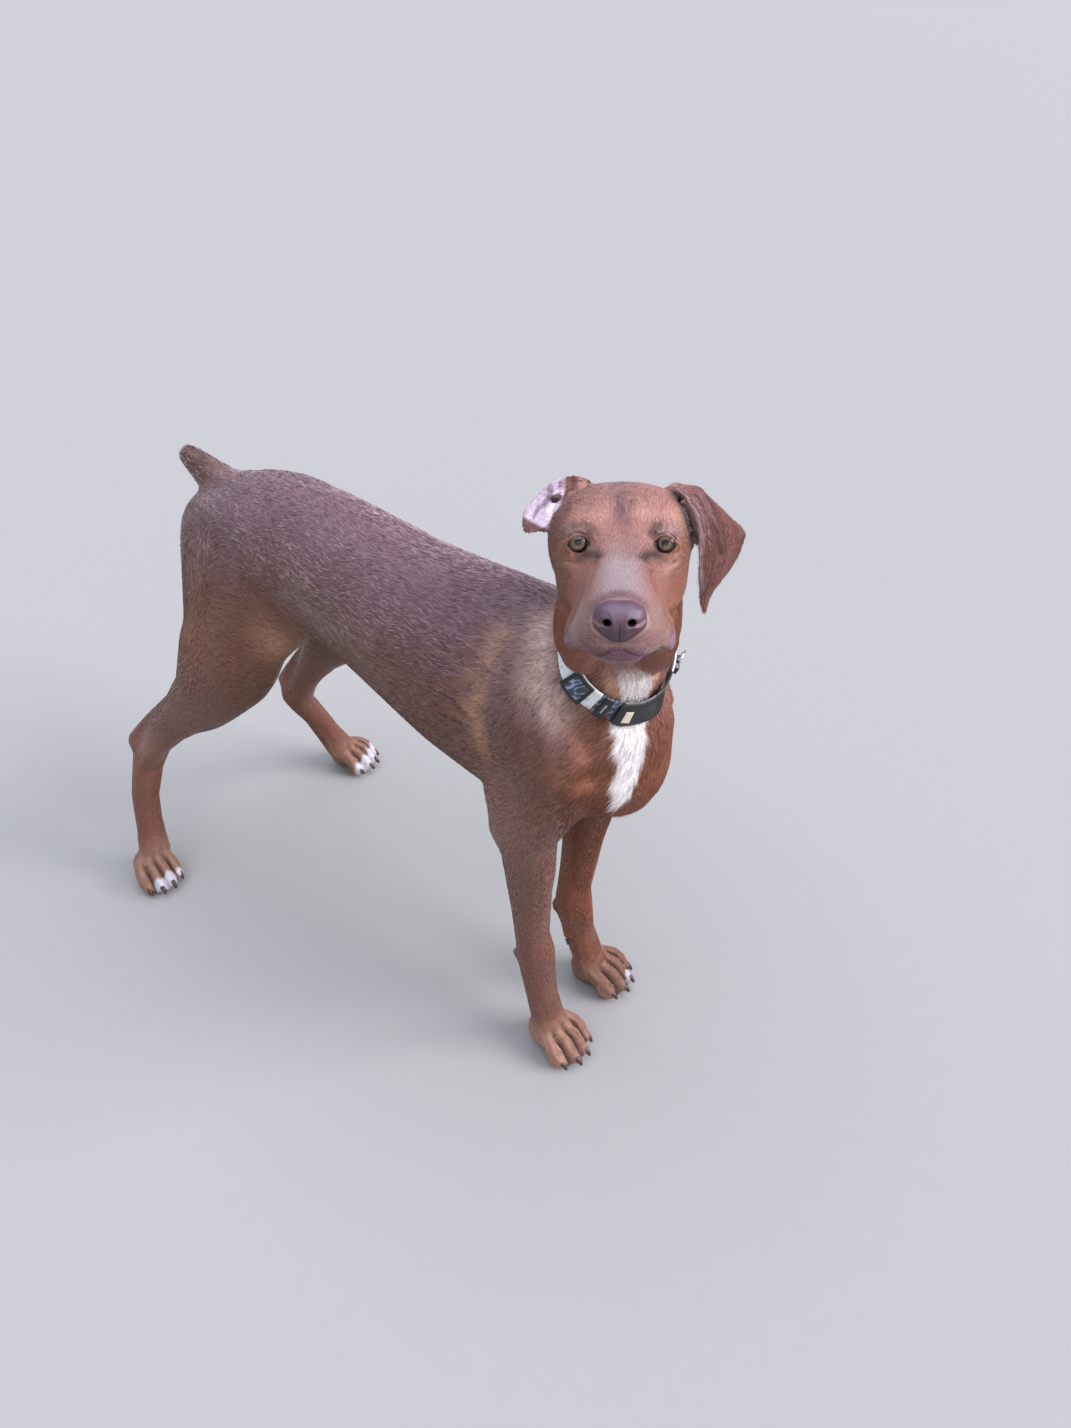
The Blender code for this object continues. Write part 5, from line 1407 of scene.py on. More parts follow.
@dataclass
class Coat:
    """Short flat hair as thin solid tufts that lie along the body."""

    skin: Skin
    markings: Markings
    budget: int = 48000
    pieces: list[bpy.types.Object] = field(default_factory=list)

    def build(self) -> None:
        """Roots tufts all over the skin and gathers them by part of the body."""
        mesh = self.skin.piece.data
        mesh.calc_loop_triangles()
        count = len(mesh.loop_triangles)
        corners = read(mesh.loop_triangles, "vertices", 3, np.int32)
        loops = read(mesh.loop_triangles, "loops", 3, np.int32)
        uvs = read(mesh.uv_layers["OFBake"].data, "uv", 2)
        points, normals = points_of(self.skin.piece), normals_of(self.skin.piece)
        a, b, c = (points[corners[:, k]] for k in range(3))
        area = np.linalg.norm(np.cross(b - a, c - a), axis=1) / 2
        middle = (a + b + c) / 3
        length, width, _, cover = self.size(middle)
        wanted = area * cover / (length * width * 0.5)
        rng = np.random.default_rng(SEED)
        number = np.floor(wanted + rng.random(count)).astype(int)
        face = np.repeat(np.arange(count), number)
        share = rng.random((len(face), 2))
        flip = share.sum(1) > 1
        share[flip] = 1 - share[flip]
        weights = np.stack([1 - share.sum(1), share[:, 0], share[:, 1]], 1)[:, :, None]
        root = (points[corners[face]] * weights).sum(1)
        normal = unit((normals[corners[face]] * weights).sum(1))
        uv = (uvs[loops[face]] * weights).sum(1)
        self.grow(rng, root, normal, uv)

    def size(self, points: Array) -> tuple[Array, Array, Array, Array]:
        """Length, width, lift and cover of the hair at places on the skin."""
        places = self.skin.places
        body, local = places.to_body(points), places.to_head(points)
        head = places.headness(points)
        low = 1 - ramp(body[:, 2], 0.26, 0.42)
        foot = 1 - ramp(body[:, 2], 0.04, 0.09)
        length = 0.007 - 0.0018 * low - 0.002 * foot
        muzzle = 1 - ramp(local[:, 1], -0.05, 0.03)
        length = length * (1 - head) + head * (0.004 - 0.0018 * muzzle)
        throat = 1 - ramp(path_gap(body, ((-0.03, -0.06, 0.6), (-0.03, -0.06, 0.44)))[0], 0.02, 0.05)
        length += 0.003 * throat * (1 - head)
        width = 0.0001 + length * 0.045
        lift = 0.07 + 0.05 * throat
        crown = head * ramp(local[:, 2], 0.008, 0.022) * (1 - places.earness(local))
        cover = 0.97 - 0.33 * head - 0.31 * low - 0.3 * crown
        lid = lid_reach(folded(local))
        cover *= np.where((lid < 1.3) & (local[:, 1] < 0.014), 0.0, 1.0)
        off_nose = (local - np.array([0, -0.088, -0.0365])) / np.array([0.021, 0.015, 0.0165])
        cover *= np.where(np.linalg.norm(off_nose, axis=1) > 1.0, 1.0, 0.0)
        cover *= np.where(body[:, 2] < 0.004, 0.0, 1.0)
        inner = (local[:, 0] < -0.052) & (local[:, 1] > 0.04)
        cover *= np.where(inner, 0.35, 1.0)
        return length, width, lift, cover

    def grow(self, rng: np.random.Generator, root: Array, normal: Array, uv: Array) -> None:
        """Makes the tufts' meshes, each a thin spike of four faces."""
        length, width, lift, _ = self.size(root)
        places = self.skin.places
        lie = laid_down(places.flow(root), normal)
        across = np.cross(normal, lie)
        sway = rng.normal(0, 0.16, len(root)) + 0.22 * waves(root, 0.05, 31)
        lie = unit(lie + across * sway[:, None])
        across = np.cross(normal, lie)
        length = length * rng.uniform(0.7, 1.25, len(root))
        width = width * rng.uniform(0.8, 1.3, len(root))
        base = root - normal * 0.00025
        rise = length * lift * rng.uniform(0.5, 1.5, len(root))
        tip = root + lie * length[:, None] + normal * rise[:, None]
        half = across * (width / 2)[:, None]
        ridge = root + normal * (width * 0.45)[:, None]
        corners = np.stack([base - half, base + half, ridge, tip], 1)
        colours = self.markings.paint(root, normal)
        tone = np.exp(rng.normal(0, 0.2, len(root)))
        back = ramp(places.to_body(root)[:, 2], 0.47, 0.58) * (1 - places.headness(root))
        colours[:, :3] *= tone[:, None]
        pale = (rng.random(len(root)) < 0.14 + 0.22 * back) * (0.18 + 0.62 * back)
        bright = colours + (np.array(linear(self.markings.palette.tips)) - colours) * pale[:, None]
        # Each tuft darker at its root, a painted shade where it meets the skin, and lightest at its tip
        shade = np.stack([colours * 0.72, colours * 0.72, bright * 0.92, bright], 1)
        shade[:, :, 3] = 1
        for name, chosen in self.parts(root).items():
            picked = np.nonzero(chosen)[0]
            for k, start in enumerate(range(0, len(picked), self.budget)):
                rows = picked[start : start + self.budget]
                self.gather(f"coat_{name}_{k + 1}", corners[rows], shade[rows], uv[rows])

    def parts(self, root: Array) -> dict[str, Array]:
        """Which part of the body each tuft is on."""
        body = self.skin.places.to_body(root)
        head = self.skin.places.headness(root) > 0.5
        leg = (body[:, 2] < 0.37) & ~head
        fore = body[:, 1] < 0.25
        neck = ~head & ~leg & (body[:, 1] < 0.09)
        return {
            "head": head,
            "forelegs": leg & fore,
            "hindlegs": leg & ~fore,
            "neck_and_chest": neck,
            "back_and_flanks": ~head & ~leg & ~neck,
        }

    def gather(self, name: str, corners: Array, shade: Array, uv: Array) -> None:
        """Joins tufts into one piece with their colours and the shared map."""
        count = len(corners)
        start = np.arange(count)[:, None, None] * 4
        shape = np.array([[0, 1, 2], [1, 3, 2], [0, 2, 3], [0, 3, 1]])
        faces = (start + shape).reshape(-1, 3)
        piece = mesh_object(name, corners.reshape(-1, 3), faces)
        painted(piece, shade)
        patch = np.array([[0.0, 0.0], [0.003, 0.0], [0.0015, 0.0015], [0.0015, 0.003]]) - 0.0015
        spots = np.clip(uv[:, None, :] + patch, 0.0005, 0.9995).reshape(-1, 2)
        table = piece.data.uv_layers.new(name="OFBake")
        write(table.data, "uv", spots[faces.ravel()])
        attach(piece, "root")
        self.pieces.append(piece)

    def dress(self) -> None:
        """Gives every piece of the coat the hair's finish."""
        finished(self.pieces, HairFinish("short_coat_hair", 0.42, 0.0, 0.2).material())
        for piece in self.pieces:
            piece.data.shade_flat()


# ---------------------------------------------------------------- eyes, nose and claws


@dataclass
class Eyes:
    """Two eyeballs, each a dark ball with a sunken amber iris under a clear cornea."""

    places: Anatomy
    radius: float = EYE_RADIUS
    iris: float = 0.006
    bulge: float = 0.0007
    balls: list[bpy.types.Object] = field(default_factory=list)
    corneas: list[bpy.types.Object] = field(default_factory=list)

    def build(self) -> None:
        """Turns each profile about its gaze and sets it in its socket."""
        for name in ("eye_left", "eye_right"):
            middle, gaze = self.gaze(name)
            turn = Vector(gaze).to_track_quat("Z", "Y").to_matrix().to_4x4()
            place = Matrix.Translation(Vector(middle)) @ turn
            ball = self.turned(name + "_ball", self.ball_profile(), place)
            cornea = self.turned(name + "_cornea", self.cornea_profile(), place)
            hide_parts(name)
            for piece in (ball, cornea):
                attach(piece, "root")
            self.balls.append(ball)
            self.corneas.append(cornea)

    def gaze(self, name: str) -> tuple[Array, Array]:
        """Middle of an eye's node, and the way it looks."""
        middle = self.places.middle(name)
        return middle, unit(np.array(CAMERA_PLACE) + self.places.shift - middle)

    def ball_profile(self) -> list[tuple[float, float]]:
        """Ball, then the iris as a shallow dish with the pupil's hole."""
        rim = math.asin(self.iris / self.radius)
        outer = [
            (self.radius * math.sin(a), self.radius * math.cos(a))
            for a in np.linspace(math.pi, rim, 26)
        ]
        edge = self.radius * math.cos(rim)
        dish = ((0.97, -0.0005), (0.7, -0.0003), (0.36, 0.0001), (0.32, -0.0006), (0.0, -0.0014))
        return outer + [(self.iris * share, edge + rise) for share, rise in dish]

    def cornea_profile(self) -> list[tuple[float, float]]:
        """A clear dome over the iris, a little prouder than the ball."""
        reach = self.iris * 1.16
        start = self.radius * math.cos(math.asin(reach / self.radius))
        height = self.radius + self.bulge - start
        turns = np.linspace(math.pi / 2, 0, 14)
        return [(reach * math.sin(a), start - 0.0003 + height * math.cos(a)) for a in turns]

    @staticmethod
    def turned(name: str, profile: list[tuple[float, float]], place: Matrix) -> bpy.types.Object:
        """A profile of radius and height turned about Z."""
        bm = bmesh.new()
        verts = [bm.verts.new((r, 0, h)) for r, h in profile]
        edges = [bm.edges.new(pair) for pair in zip(verts, verts[1:])]
        bmesh.ops.spin(
            bm, geom=verts + edges, cent=(0, 0, 0), axis=(0, 0, 1), angle=math.tau,
            steps=56, use_duplicate=False,
        )
        bmesh.ops.remove_doubles(bm, verts=bm.verts, dist=1e-6)
        bmesh.ops.recalc_face_normals(bm, faces=bm.faces)
        bm.transform(place)
        return smooth_shaded(object_of(name, bm), 40)

    def dress(self) -> None:
        """Amber iris with rays, dark pupil and rim, darker at its top in painted shade of the upper lid; the
        cornea is clear and wet.
        """
        for ball, cornea in zip(self.balls, self.corneas):
            name = "eye_left" if "left" in ball.name else "eye_right"
            finished([ball], self.iris_material(*self.gaze(name)))
            finished([cornea], self.cornea_material())

    def iris_material(self, centre: Array, gaze: Array) -> bpy.types.Material:
        """Rings of colour by distance from the line of gaze, darker towards the top in painted shade of the
        upper lid and lighter towards the bottom in painted light.
        """
        g = Graph("amber_iris")
        where = g.place()
        gap = g.add("ShaderNodeVectorMath", {0: where}, {1: tuple(centre)}, operation="SUBTRACT")
        values = {1: tuple(gaze)}
        off = g.add("ShaderNodeVectorMath", {0: gap.outputs[0]}, values, operation="CROSS_PRODUCT")
        size = g.add("ShaderNodeVectorMath", {0: off.outputs[0]}, operation="LENGTH")
        way = g.add("ShaderNodeVectorMath", {0: off.outputs[0]}, operation="NORMALIZE")
        rays = g.noise(9.0, way.outputs[0], 6.0)
        wobble = g.math("MULTIPLY_ADD", rays.outputs["Fac"], 0.0006, size.outputs["Value"])
        share = g.math("DIVIDE", wobble, self.iris + 0.0003)
        stops = g.add("ShaderNodeValToRGB", {"Fac": share})
        colours = (
            (0.0, "#050404"), (0.38, "#080605"), (0.44, "#4a3424"), (0.64, "#8a6b48"),
            (0.84, "#6b523a"), (0.93, "#3a281c"), (1.0, "#1d1413"),
        )
        ramp_of = stops.color_ramp
        while len(ramp_of.elements) < len(colours):
            ramp_of.elements.new(0.5)
        for element, (at, code) in zip(ramp_of.elements, colours):
            element.position = at
            element.color = linear(code)
        # Painted shade of the upper lid darkens the iris towards its top; its lower half is painted lighter
        height = g.add("ShaderNodeSeparateXYZ", {0: gap.outputs[0]})
        g.shaded(stops.outputs["Color"], height.outputs["Z"], self.iris, 1.25, 0.55)
        g.set(Roughness=0.22, Specular_IOR_Level=0.4)
        return g.material

    @staticmethod
    def cornea_material() -> bpy.types.Material:
        """Clear wet dome that shows the lights as small points."""
        g = Graph("clear_cornea")
        g.set(Base_Color=(1, 1, 1, 1), Roughness=0.02, IOR=1.376, Transmission_Weight=1.0)
        return g.material


@dataclass
class Nose:
    """The bare nose leather with nostrils, a middle groove and pebbled skin."""

    places: Anatomy
    voxel: float = 0.00068
    piece: bpy.types.Object = field(init=False)
    hole: Array = field(init=False)
    slit: Array = field(init=False)
    groove: Array = field(init=False)

    def build(self, nodes: dict[str, bpy.types.Object]) -> None:
        """Refines the leather's solid, squares its outline and hollows the nostrils."""
        self.piece = object_of("nose_leather", merged_copy(nodes["nose"], 0.0008))
        applied(self.piece, "REMESH", mode="VOXEL", voxel_size=self.voxel)
        applied(self.piece, "SMOOTH", factor=0.5, iterations=40)
        local = self.places.to_head(points_of(self.piece))
        x, z = local[:, 0], local[:, 2]
        across = np.abs(x)
        front = ramp(local[:, 1], -0.086, -0.092)
        flat = np.stack([across, z, 0 * z], 1)
        move = np.zeros_like(local)
        move[:, 0] = np.sign(x) * across * (0.1 * ramp(z, -0.034, -0.026) - 0.22 * ramp(z, -0.038, -0.05))
        move[:, 2] -= 0.0012 * ramp(across, 0.01, 0.0) * ramp(z, -0.03, -0.022)
        hole = bell(flat, (0.0088, -0.0352, 0.0), (0.0034, 0.0031, 1.0))
        slit, _ = path_gap(flat, ((0.01, -0.0362, 0), (0.014, -0.0368, 0), (0.0182, -0.035, 0)))
        ridge, _ = path_gap(flat, ((0.0052, -0.029, 0), (0.0044, -0.036, 0), (0.0052, -0.044, 0)))
        wing = bell(flat, (0.013, -0.032, 0.0), (0.005, 0.003, 1.0))
        groove = np.exp(-((across / 0.0009) ** 2)) * ramp(z, -0.033, -0.041)
        move[:, 1] += front * (0.0085 * ramp(hole, 0.3, 0.85) + 0.0024 * np.exp(-((slit / 0.0011) ** 2)))
        move[:, 1] += front * (0.0013 * groove - 0.0008 * wing - 0.0006 * np.exp(-((ridge / 0.0016) ** 2)))
        self.hole = ramp(hole, 0.25, 0.6) * front
        self.slit = np.exp(-((slit / 0.0016) ** 2)) * front
        self.groove = groove * front
        place_points(self.piece, self.places.from_head(local + move))
        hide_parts("nose")
        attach(self.piece, "root")
        smooth_shaded(self.piece, 180)

    def dress(self) -> None:
        """Liver-brown leather, pebbled by small cells and slightly moist, lighter towards its top in a
        painted highlight, with painted shade in its groove and nostrils.
        """
        points = points_of(self.piece)
        local = self.places.to_head(points)
        # Lighter towards the top: a painted highlight of the light from above
        tone = 0.75 * ramp(local[:, 2], -0.046, -0.022) + 0.15 * waves(points, 0.012, 51)
        low, high = np.array(linear("#452f3a")), np.array(linear("#573f50"))
        colour = low + (high - low) * np.clip(tone, 0, 1)[:, None]
        # Darker towards the sides and pinker in the slits; the middle groove and the nostrils darkened as
        # painted shade
        for code, share in (
            ("#4a3640", ramp(np.abs(local[:, 0]), 0.013, 0.020) * 0.6),
            ("#8a5d66", self.slit * 0.8),
            ("#3a262d", self.groove * 0.7),
            ("#1c0d11", self.hole),
        ):
            colour += (np.array(linear(code)) - colour) * np.clip(share, 0, 1)[:, None]
        painted(self.piece, colour)
        g = Graph("liver_nose_leather")
        g.feed("Base Color", g.markings())
        g.set(Roughness=0.42, Specular_IOR_Level=0.5)
        where = g.place()
        cells = g.add("ShaderNodeTexVoronoi", {"Vector": where}, {"Scale": 1300.0}, feature="F1")
        g.bumped(g.math("SUBTRACT", 1.0, cells.outputs["Distance"]), 0.45, 0.00025)
        finished([self.piece], g.material)


@dataclass
class Claws:
    """The claws, kept in their own nodes and refined into smooth horn."""

    pieces: list[bpy.types.Object] = field(default_factory=list)

    def build(self, nodes: dict[str, bpy.types.Object]) -> None:
        """Rounds each claw's solid."""
        for name in sorted(n for n in nodes if "_claw_" in n):
            piece = object_of(name + "_horn", merged_copy(nodes[name], 0.0006))
            applied(piece, "SUBSURF", levels=2, render_levels=2)
            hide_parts(name)
            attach(piece, "root")
            smooth_shaded(piece, 180)
            self.pieces.append(piece)

    def dress(self) -> None:
        """Dark brown horn, half glossy and slightly uneven."""
        finished(self.pieces, PlainFinish("dark_claw_horn", "#3a2a26", 0.34, 600.0, 0.0001).material())


# ---------------------------------------------------------------- collar


@dataclass
class Collar:
    """Webbing strap with slider, keeper, side-release buckle, ring loop and D-ring."""

    places: Anatomy
    middle: Place = (0.0045, -0.0175, 0.5875)
    up: Place = (-0.163, -0.667, 0.727)
    half: float = 0.01
    thickness: float = 0.0026
    neck: float = 0.06
    clear: float = 0.14
    gap: tuple[float, float] = (-44.0, -11.0)
    slider: tuple[float, float] = (-104.0, -81.0)
    keeper: tuple[float, float] = (-67.5, -59.5)
    woven: list[bpy.types.Object] = field(default_factory=list)
    black: list[bpy.types.Object] = field(default_factory=list)
    metal: list[bpy.types.Object] = field(default_factory=list)
    origin: Array = field(init=False)
    axis: Array = field(init=False)
    ahead: Array = field(init=False)
    side: Array = field(init=False)
    radii: list[Array] = field(default_factory=list)

    def build(self, nodes: dict[str, bpy.types.Object]) -> None:
        """Reads the strap's course off its solid, then builds each part along it."""
        self.origin = np.array(self.middle) + self.places.shift
        self.axis = unit(np.array(self.up))
        front = np.array([0.0, -1.0, 0.0])
        self.ahead = unit(front - self.axis * (front @ self.axis))
        self.side = np.cross(self.axis, self.ahead)
        self.course(nodes["collar_strap"])
        first, last = self.gap
        strap = self.ribbon("collar_webbing", last, first + 360, 1.0, -self.thickness, 0.0, 340, 12)
        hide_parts("collar_strap")
        self.woven.append(strap)
        self.fittings(nodes)
        for piece in (*self.woven, *self.black, *self.metal):
            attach(piece, "root")

    def fittings(self, nodes: dict[str, bpy.types.Object]) -> None:
        """Builds slider, keeper, buckle, ring loop and D-ring on the strap."""
        start, end = self.slider
        frame = self.ribbon("slider_frame", start, end, 1.15, 0.0004, 0.0022, 30, 6)
        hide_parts("collar_slider")
        self.black.append(frame)
        inlay = self.ribbon("slider_webbing", start + 3.6, end - 3.6, 0.8, 0.0016, 0.0026, 30, 10)
        self.woven.append(inlay)
        start, end = self.keeper
        keeper = self.ribbon("strap_keeper", start, end, 1.16, 0.0004, 0.0021, 14, 6)
        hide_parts("collar_keeper")
        self.black.append(keeper)
        self.woven.append(self.ribbon("keeper_slot", start + 3.2, start + 4.8, 0.5, 0.0016, 0.0023, 4, 4))
        socket = self.ribbon("buckle_socket", -52.0, -27.4, self.swelling, -0.002, 0.0036, 40, 8)
        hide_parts("collar_buckle_socket")
        prongs = self.ribbon("buckle_prongs", -27.0, -15.0, self.swelling, -0.002, 0.0032, 20, 8)
        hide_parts("collar_buckle_prongs")
        tongue = self.ribbon("buckle_tongue", -15.6, -3.0, 1.06, -0.0006, 0.0016, 20, 8)
        self.black += [socket, prongs, tongue]
        for k in range(5):
            start = -13.6 + 2.2 * k
            stitch = self.ribbon(f"tongue_stitch_{k + 1}", start, start + 0.7, 0.9, 0.0012, 0.002, 2, 6)
            self.black.append(stitch)
        self.woven.append(self.ribbon("buckle_label", -45.4, -38.6, 0.6, 0.003, 0.004, 8, 6))
        loop = self.refined(nodes["collar_ring_loop"], "ring_loop_webbing", 0.0005)
        self.black.append(loop)
        self.metal.append(self.refined(nodes["collar_d_ring"], "d_ring_wire", 0.0))

    @staticmethod
    def swelling(degrees: Array) -> Array:
        """Half width of the buckle's mouldings along it, rounded at its ends."""
        body = 1.08 + 0.14 * np.exp(-(((degrees + 44.0) / 9.0) ** 2))
        ends = ramp(degrees, -53.2, -49.5) * 0.2 + 0.8
        return body * ends

    def outward(self, degrees: Array) -> Array:
        """Directions out from the collar's axis, from the front towards the dog's left."""
        turn = np.radians(degrees)
        return np.cos(turn)[:, None] * self.ahead + np.sin(turn)[:, None] * self.side

    def course(self, strap: bpy.types.Object) -> None:
        """Radii of the strap's outer face along both its edges, degree by degree."""
        tree = BVHTree.FromObject(strap, bpy.context.evaluated_depsgraph_get())
        for level in (-0.9, 0.9):
            start = self.origin + self.axis * self.half * level
            row = np.full(360, np.nan)
            for k, way in enumerate(self.outward(np.arange(360.0))):
                hit = tree.ray_cast(Vector(start + way * self.clear), Vector(-way), self.clear - 0.01)
                if hit[0] is not None:
                    row[k] = self.clear - hit[3]
            known = np.nonzero(~np.isnan(row))[0]
            row = np.interp(np.arange(360), known, row[known], period=360)
            self.radii.append(sum(np.roll(row, j) for j in range(-3, 4)) / 7)

    def place(self, degrees: Array, across: Array, off: Array) -> Array:
        """Points at angles, across the strap from -1 to 1, and off its outer face."""
        low, high = (np.interp(degrees % 360, np.arange(360), row, period=360) for row in self.radii)
        radius = low + (high - low) * (across + 1) / 2 + off
        points = self.origin + across[:, None] * self.axis * self.half
        points = points + self.outward(degrees) * radius[:, None]
        return points + NECK_EASE.move(self.places.to_body(points))

    def ribbon(
        self, name: str, start: float, end: float, reach: float | Callable[[Array], Array],
        low: float, high: float, steps: int, across: int,
    ) -> bpy.types.Object:
        """A closed strip along the collar with rounded edges.

        Args:
            name: Its name.
            start: Angle where it begins, in degrees from the front.
            end: Angle where it ends.
            reach: Half its width as a share of the strap's, even or as a function of angle.
            low: Its inner face, off the strap's outer face.
            high: Its outer face.
            steps: Faces along it.
            across: Faces across it.

        Returns:
            The strip.
        """
        thick = high - low
        sides = np.linspace(-1, 1, across + 1) * (1 - 0.35 * thick / self.half)
        mid = (low + high) / 2
        ring = [(t, high) for t in sides] + [(1, mid + thick * 0.22), (1, mid - thick * 0.22)]
        ring += [(t, low) for t in sides[::-1]] + [(-1, mid - thick * 0.22), (-1, mid + thick * 0.22)]
        count = len(ring)
        grid = np.repeat(np.linspace(start, end, steps + 1), count)
        reaches = reach(grid) if callable(reach) else np.full(len(grid), reach)
        widths = np.tile([t for t, _ in ring], steps + 1) * reaches
        points = self.place(grid, widths, np.tile([o for _, o in ring], steps + 1))
        faces = []
        for row in range(steps):
            for k in range(count):
                a, b = row * count + k, row * count + (k + 1) % count
                faces += [(a, a + count, b + count), (a, b + count, b)]
        for row, flip in ((0, False), (steps, True)):
            first = row * count
            for k in range(1, count - 1):
                face = (first, first + k, first + k + 1)
                faces.append(face[::-1] if flip else face)
        piece = mesh_object(name, points, np.array(faces))
        select_only(piece)
        bpy.ops.object.mode_set(mode="EDIT")
        bpy.ops.mesh.select_all(action="SELECT")
        bpy.ops.mesh.normals_make_consistent(inside=False)
        bpy.ops.object.mode_set(mode="OBJECT")
        self.paint(piece, grid, widths, name)
        return smooth_shaded(piece, 50)

    def paint(self, piece: bpy.types.Object, degrees: Array, across: Array, name: str) -> None:
        """Colours of the webbing: pale with soft blots, and a grey-blue patterned stretch."""
        along = np.radians(degrees) * self.neck
        where = np.stack([along, across * self.half, 0 * along], 1)
        colour = np.tile(np.array(linear("#d4d9da")), (len(where), 1))
        angle = (degrees + 180) % 360 - 180
        dark = ((angle > -71.5) & (angle < -43)) | (name == "slider_webbing")
        pattern = ramp(np.abs(waves(where, 0.0062, 64, 4)), 0.35, 0.05)
        blots = [
            ("#a9b4bd", ramp(waves(where, 0.011, 61), 0.9, 1.5)),
            ("#e6e0d6", ramp(waves(where, 0.015, 62), 0.8, 1.5)),
            ("#2e3338", ramp(waves(where, 0.0042, 63), 1.3, 1.7) * (angle > -82) * (angle < -70)),
            ("#2f3544", dark * 1.0),
            ("#8c97b3", dark * pattern),
            ("#141417", ((angle > -13) & (angle < 17)) * 1.0),
        ]
        plain = {"buckle_label": "#cfc4ab", "keeper_slot": "#8f8f90"}
        if name in plain:
            blots = [(plain[name], np.ones_like(along))]
        for code, share in blots:
            colour += (np.array(linear(code)) - colour) * np.clip(share, 0, 1)[:, None]
        painted(piece, colour)
        pointed(piece, "weave_place", where)

    @staticmethod
    def refined(node: bpy.types.Object, name: str, edge: float) -> bpy.types.Object:
        """A solid's copy with its edges rounded, or smoothed all over where edge is 0."""
        piece = object_of(name, merged_copy(node))
        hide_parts(node.name)
        if edge:
            applied(piece, "DECIMATE", decimate_type="DISSOLVE", angle_limit=math.radians(3))
            sharp = {"limit_method": "ANGLE", "angle_limit": math.radians(50)}
            applied(piece, "BEVEL", width=edge, segments=3, **sharp)
            applied(piece, "TRIANGULATE")
        else:
            applied(piece, "SUBSURF", levels=2, render_levels=2)
        return smooth_shaded(piece, 40)

    def dress(self) -> None:
        """Woven nylon, black acetal and bright steel."""
        black = PlainFinish("black_acetal_moulding", "#17171a", 0.36, 1500.0, 0.00003)
        steel = PlainFinish("nickel_plated_steel", "#c9c8c6", 0.22, 2500.0, 0.00001, 1.0)
        finished(self.woven, self.webbing())
        finished(self.black, black.material())
        finished(self.metal, steel.material())

    @staticmethod
    def webbing() -> bpy.types.Material:
        """Polyester webbing, woven in fine ribs across, printed in soft colours."""
        g = Graph("printed_polyester_webbing")
        paint = g.markings()
        where = g.add("ShaderNodeAttribute", attribute_name="weave_place").outputs["Vector"]
        shares = g.add("ShaderNodeSeparateXYZ", {0: where})
        ribs = []
        for axis, pitch in ((0, 0.0009), (1, 0.0013)):
            turn = g.math("MULTIPLY", shares.outputs[axis], 2 * math.pi / pitch)
            ribs.append(g.math("SINE", turn))
        weave = g.math("MULTIPLY", *ribs)
        g.shaded(paint, weave, 1.0, 0.78, 1.06)
        g.set(Roughness=0.75, Sheen_Weight=0.2)
        g.bumped(weave, 0.7, 0.00012)
        return g.material


# ---------------------------------------------------------------- studio


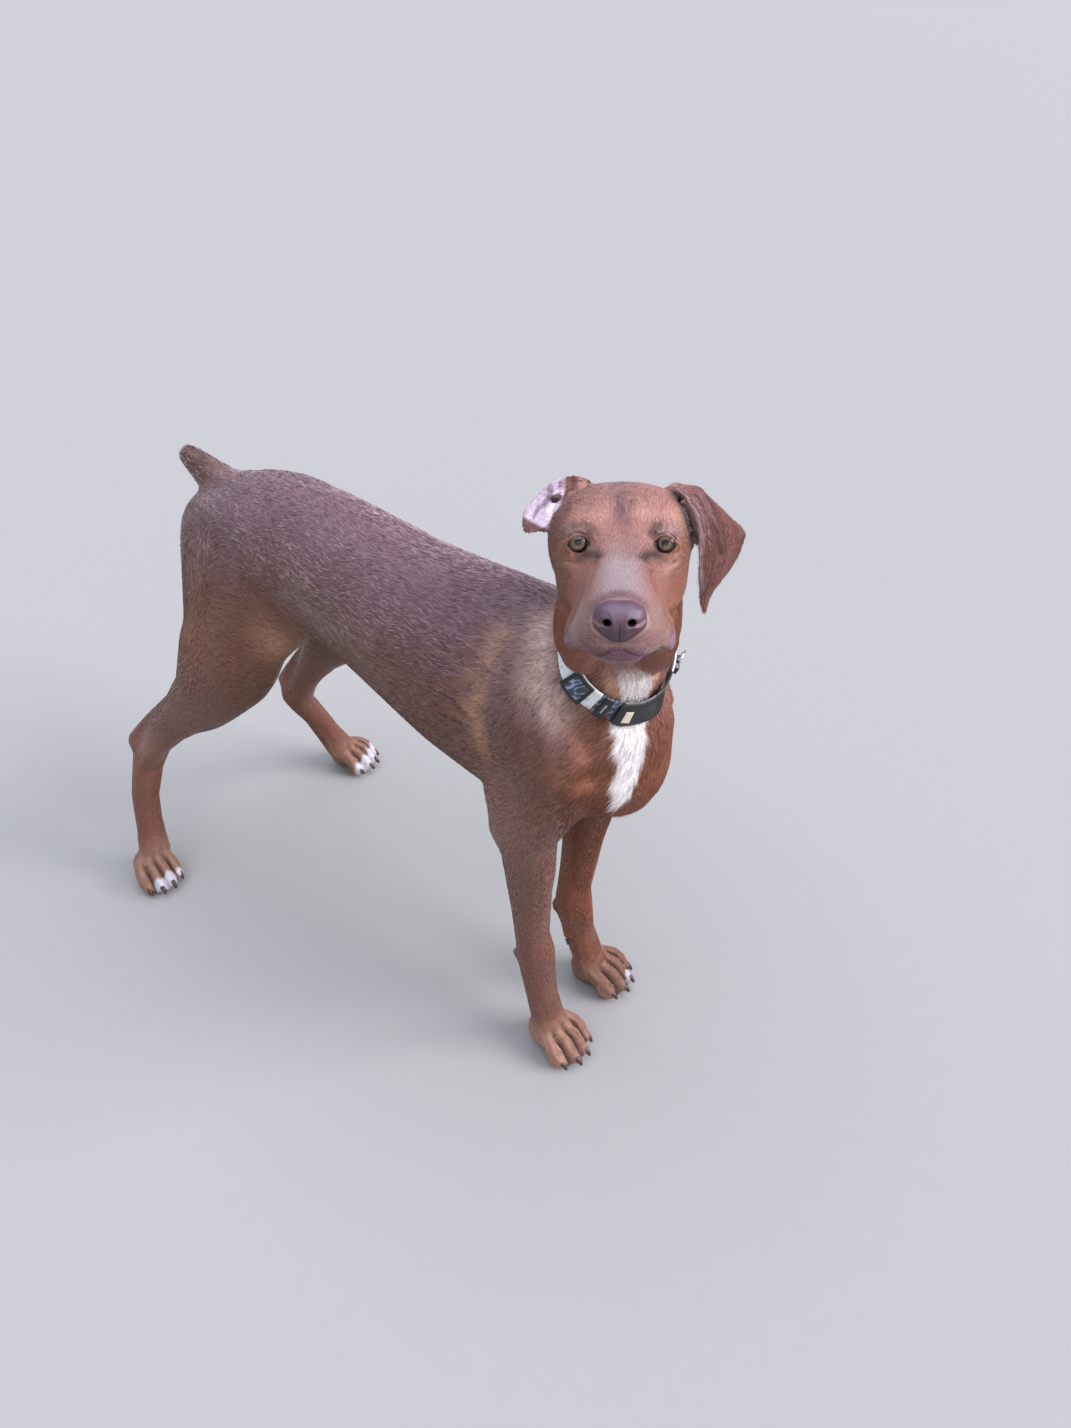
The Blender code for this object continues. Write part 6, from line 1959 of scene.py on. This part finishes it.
@dataclass
class Studio:
    """Camera, pale floor and soft lights."""

    places: Anatomy
    right: Place = (0.58354, -0.81208, 0.0)
    up: Place = (0.522, 0.37509, 0.76604)
    focal: float = 26.218487
    lamps: tuple[tuple[str, Place, float, float, str], ...] = (
        ("key", (1.1, -2.6, 2.4), 0.7, 4.4, "#fbf6ff"),
        ("top", (-0.2, 0.2, 3.0), 1.3, 3.5, "#e9eeff"),
        ("fill", (-1.6, -2.0, 0.5), 1.2, 1.1, "#fff6ee"),
    )

    def build(self) -> None:
        """Sets the camera, the floor and the lights."""
        right, up = Vector(self.right).normalized(), Vector(self.up).normalized()
        back = right.cross(up)
        turn = Matrix((right, up, back)).transposed().to_4x4()
        camera = bpy.data.cameras.new("camera")
        camera.lens, camera.sensor_width = self.focal, 36.0
        camera.clip_start, camera.clip_end = 0.05, 50.0
        holder = bpy.data.objects.new("camera", camera)
        holder.matrix_world = Matrix.Translation(Vector(CAMERA_PLACE) + Vector(self.places.shift)) @ turn
        bpy.context.scene.collection.objects.link(holder)
        bpy.context.scene.camera = holder
        bpy.ops.mesh.primitive_plane_add(size=80, location=(0, 0, 0))
        floor = bpy.context.active_object
        floor.name = "studio_floor"
        finished([floor], PlainFinish("pale_floor", "#8f8e8c", 0.9, 40.0, 0.0002).material())
        for lamp in self.lamps:
            self.light(*lamp)
        world = bpy.data.worlds.new("studio")
        world.use_nodes = True
        world.node_tree.nodes["Background"].inputs[0].default_value = linear("#dfe6f2")
        world.node_tree.nodes["Background"].inputs[1].default_value = 0.62
        bpy.context.scene.world = world
        bpy.context.scene.view_settings.view_transform = "Standard"

    @staticmethod
    def light(name: str, spot: Sequence[float], spread: float, power: float, code: str) -> None:
        """A far lamp behind a wide diffuser, shining from a spot towards the dog."""
        lamp = bpy.data.lights.new(name, "SUN")
        lamp.angle, lamp.energy, lamp.color = spread, power, linear(code)[:3]
        holder = bpy.data.objects.new(name, lamp)
        aim = Vector((0, 0, 0.4)) - Vector(spot)
        holder.matrix_world = Matrix.Translation(spot) @ aim.to_track_quat("-Z", "Y").to_matrix().to_4x4()
        bpy.context.scene.collection.objects.link(holder)


def main() -> None:
    """Builds the dog's looks on its frame."""
    logging.basicConfig(level=logging.INFO, format="%(message)s")
    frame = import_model()
    bpy.ops.object.select_all(action="DESELECT")
    for name in ("Cube", "Light", "Camera"):
        if name in bpy.data.objects:
            bpy.data.objects.remove(bpy.data.objects[name], do_unlink=True)
    nodes = frame["nodes"]
    places = Anatomy()
    markings = Markings(places)
    skin = Skin(places, markings)
    skin.build(nodes)
    skin.dress()
    LOG.info("skin built")
    coat = Coat(skin, markings)
    coat.build()
    coat.dress()
    LOG.info("coat built: %s", {p.name: len(p.data.polygons) for p in coat.pieces})
    eyes = Eyes(places)
    eyes.build()
    eyes.dress()
    for maker in (Nose(places), Claws(), Collar(places)):
        maker.build(nodes)
        maker.dress()
    LOG.info("eyes, nose, claws and collar built")
    Studio(places).build()


if __name__ == "__main__":
    main()
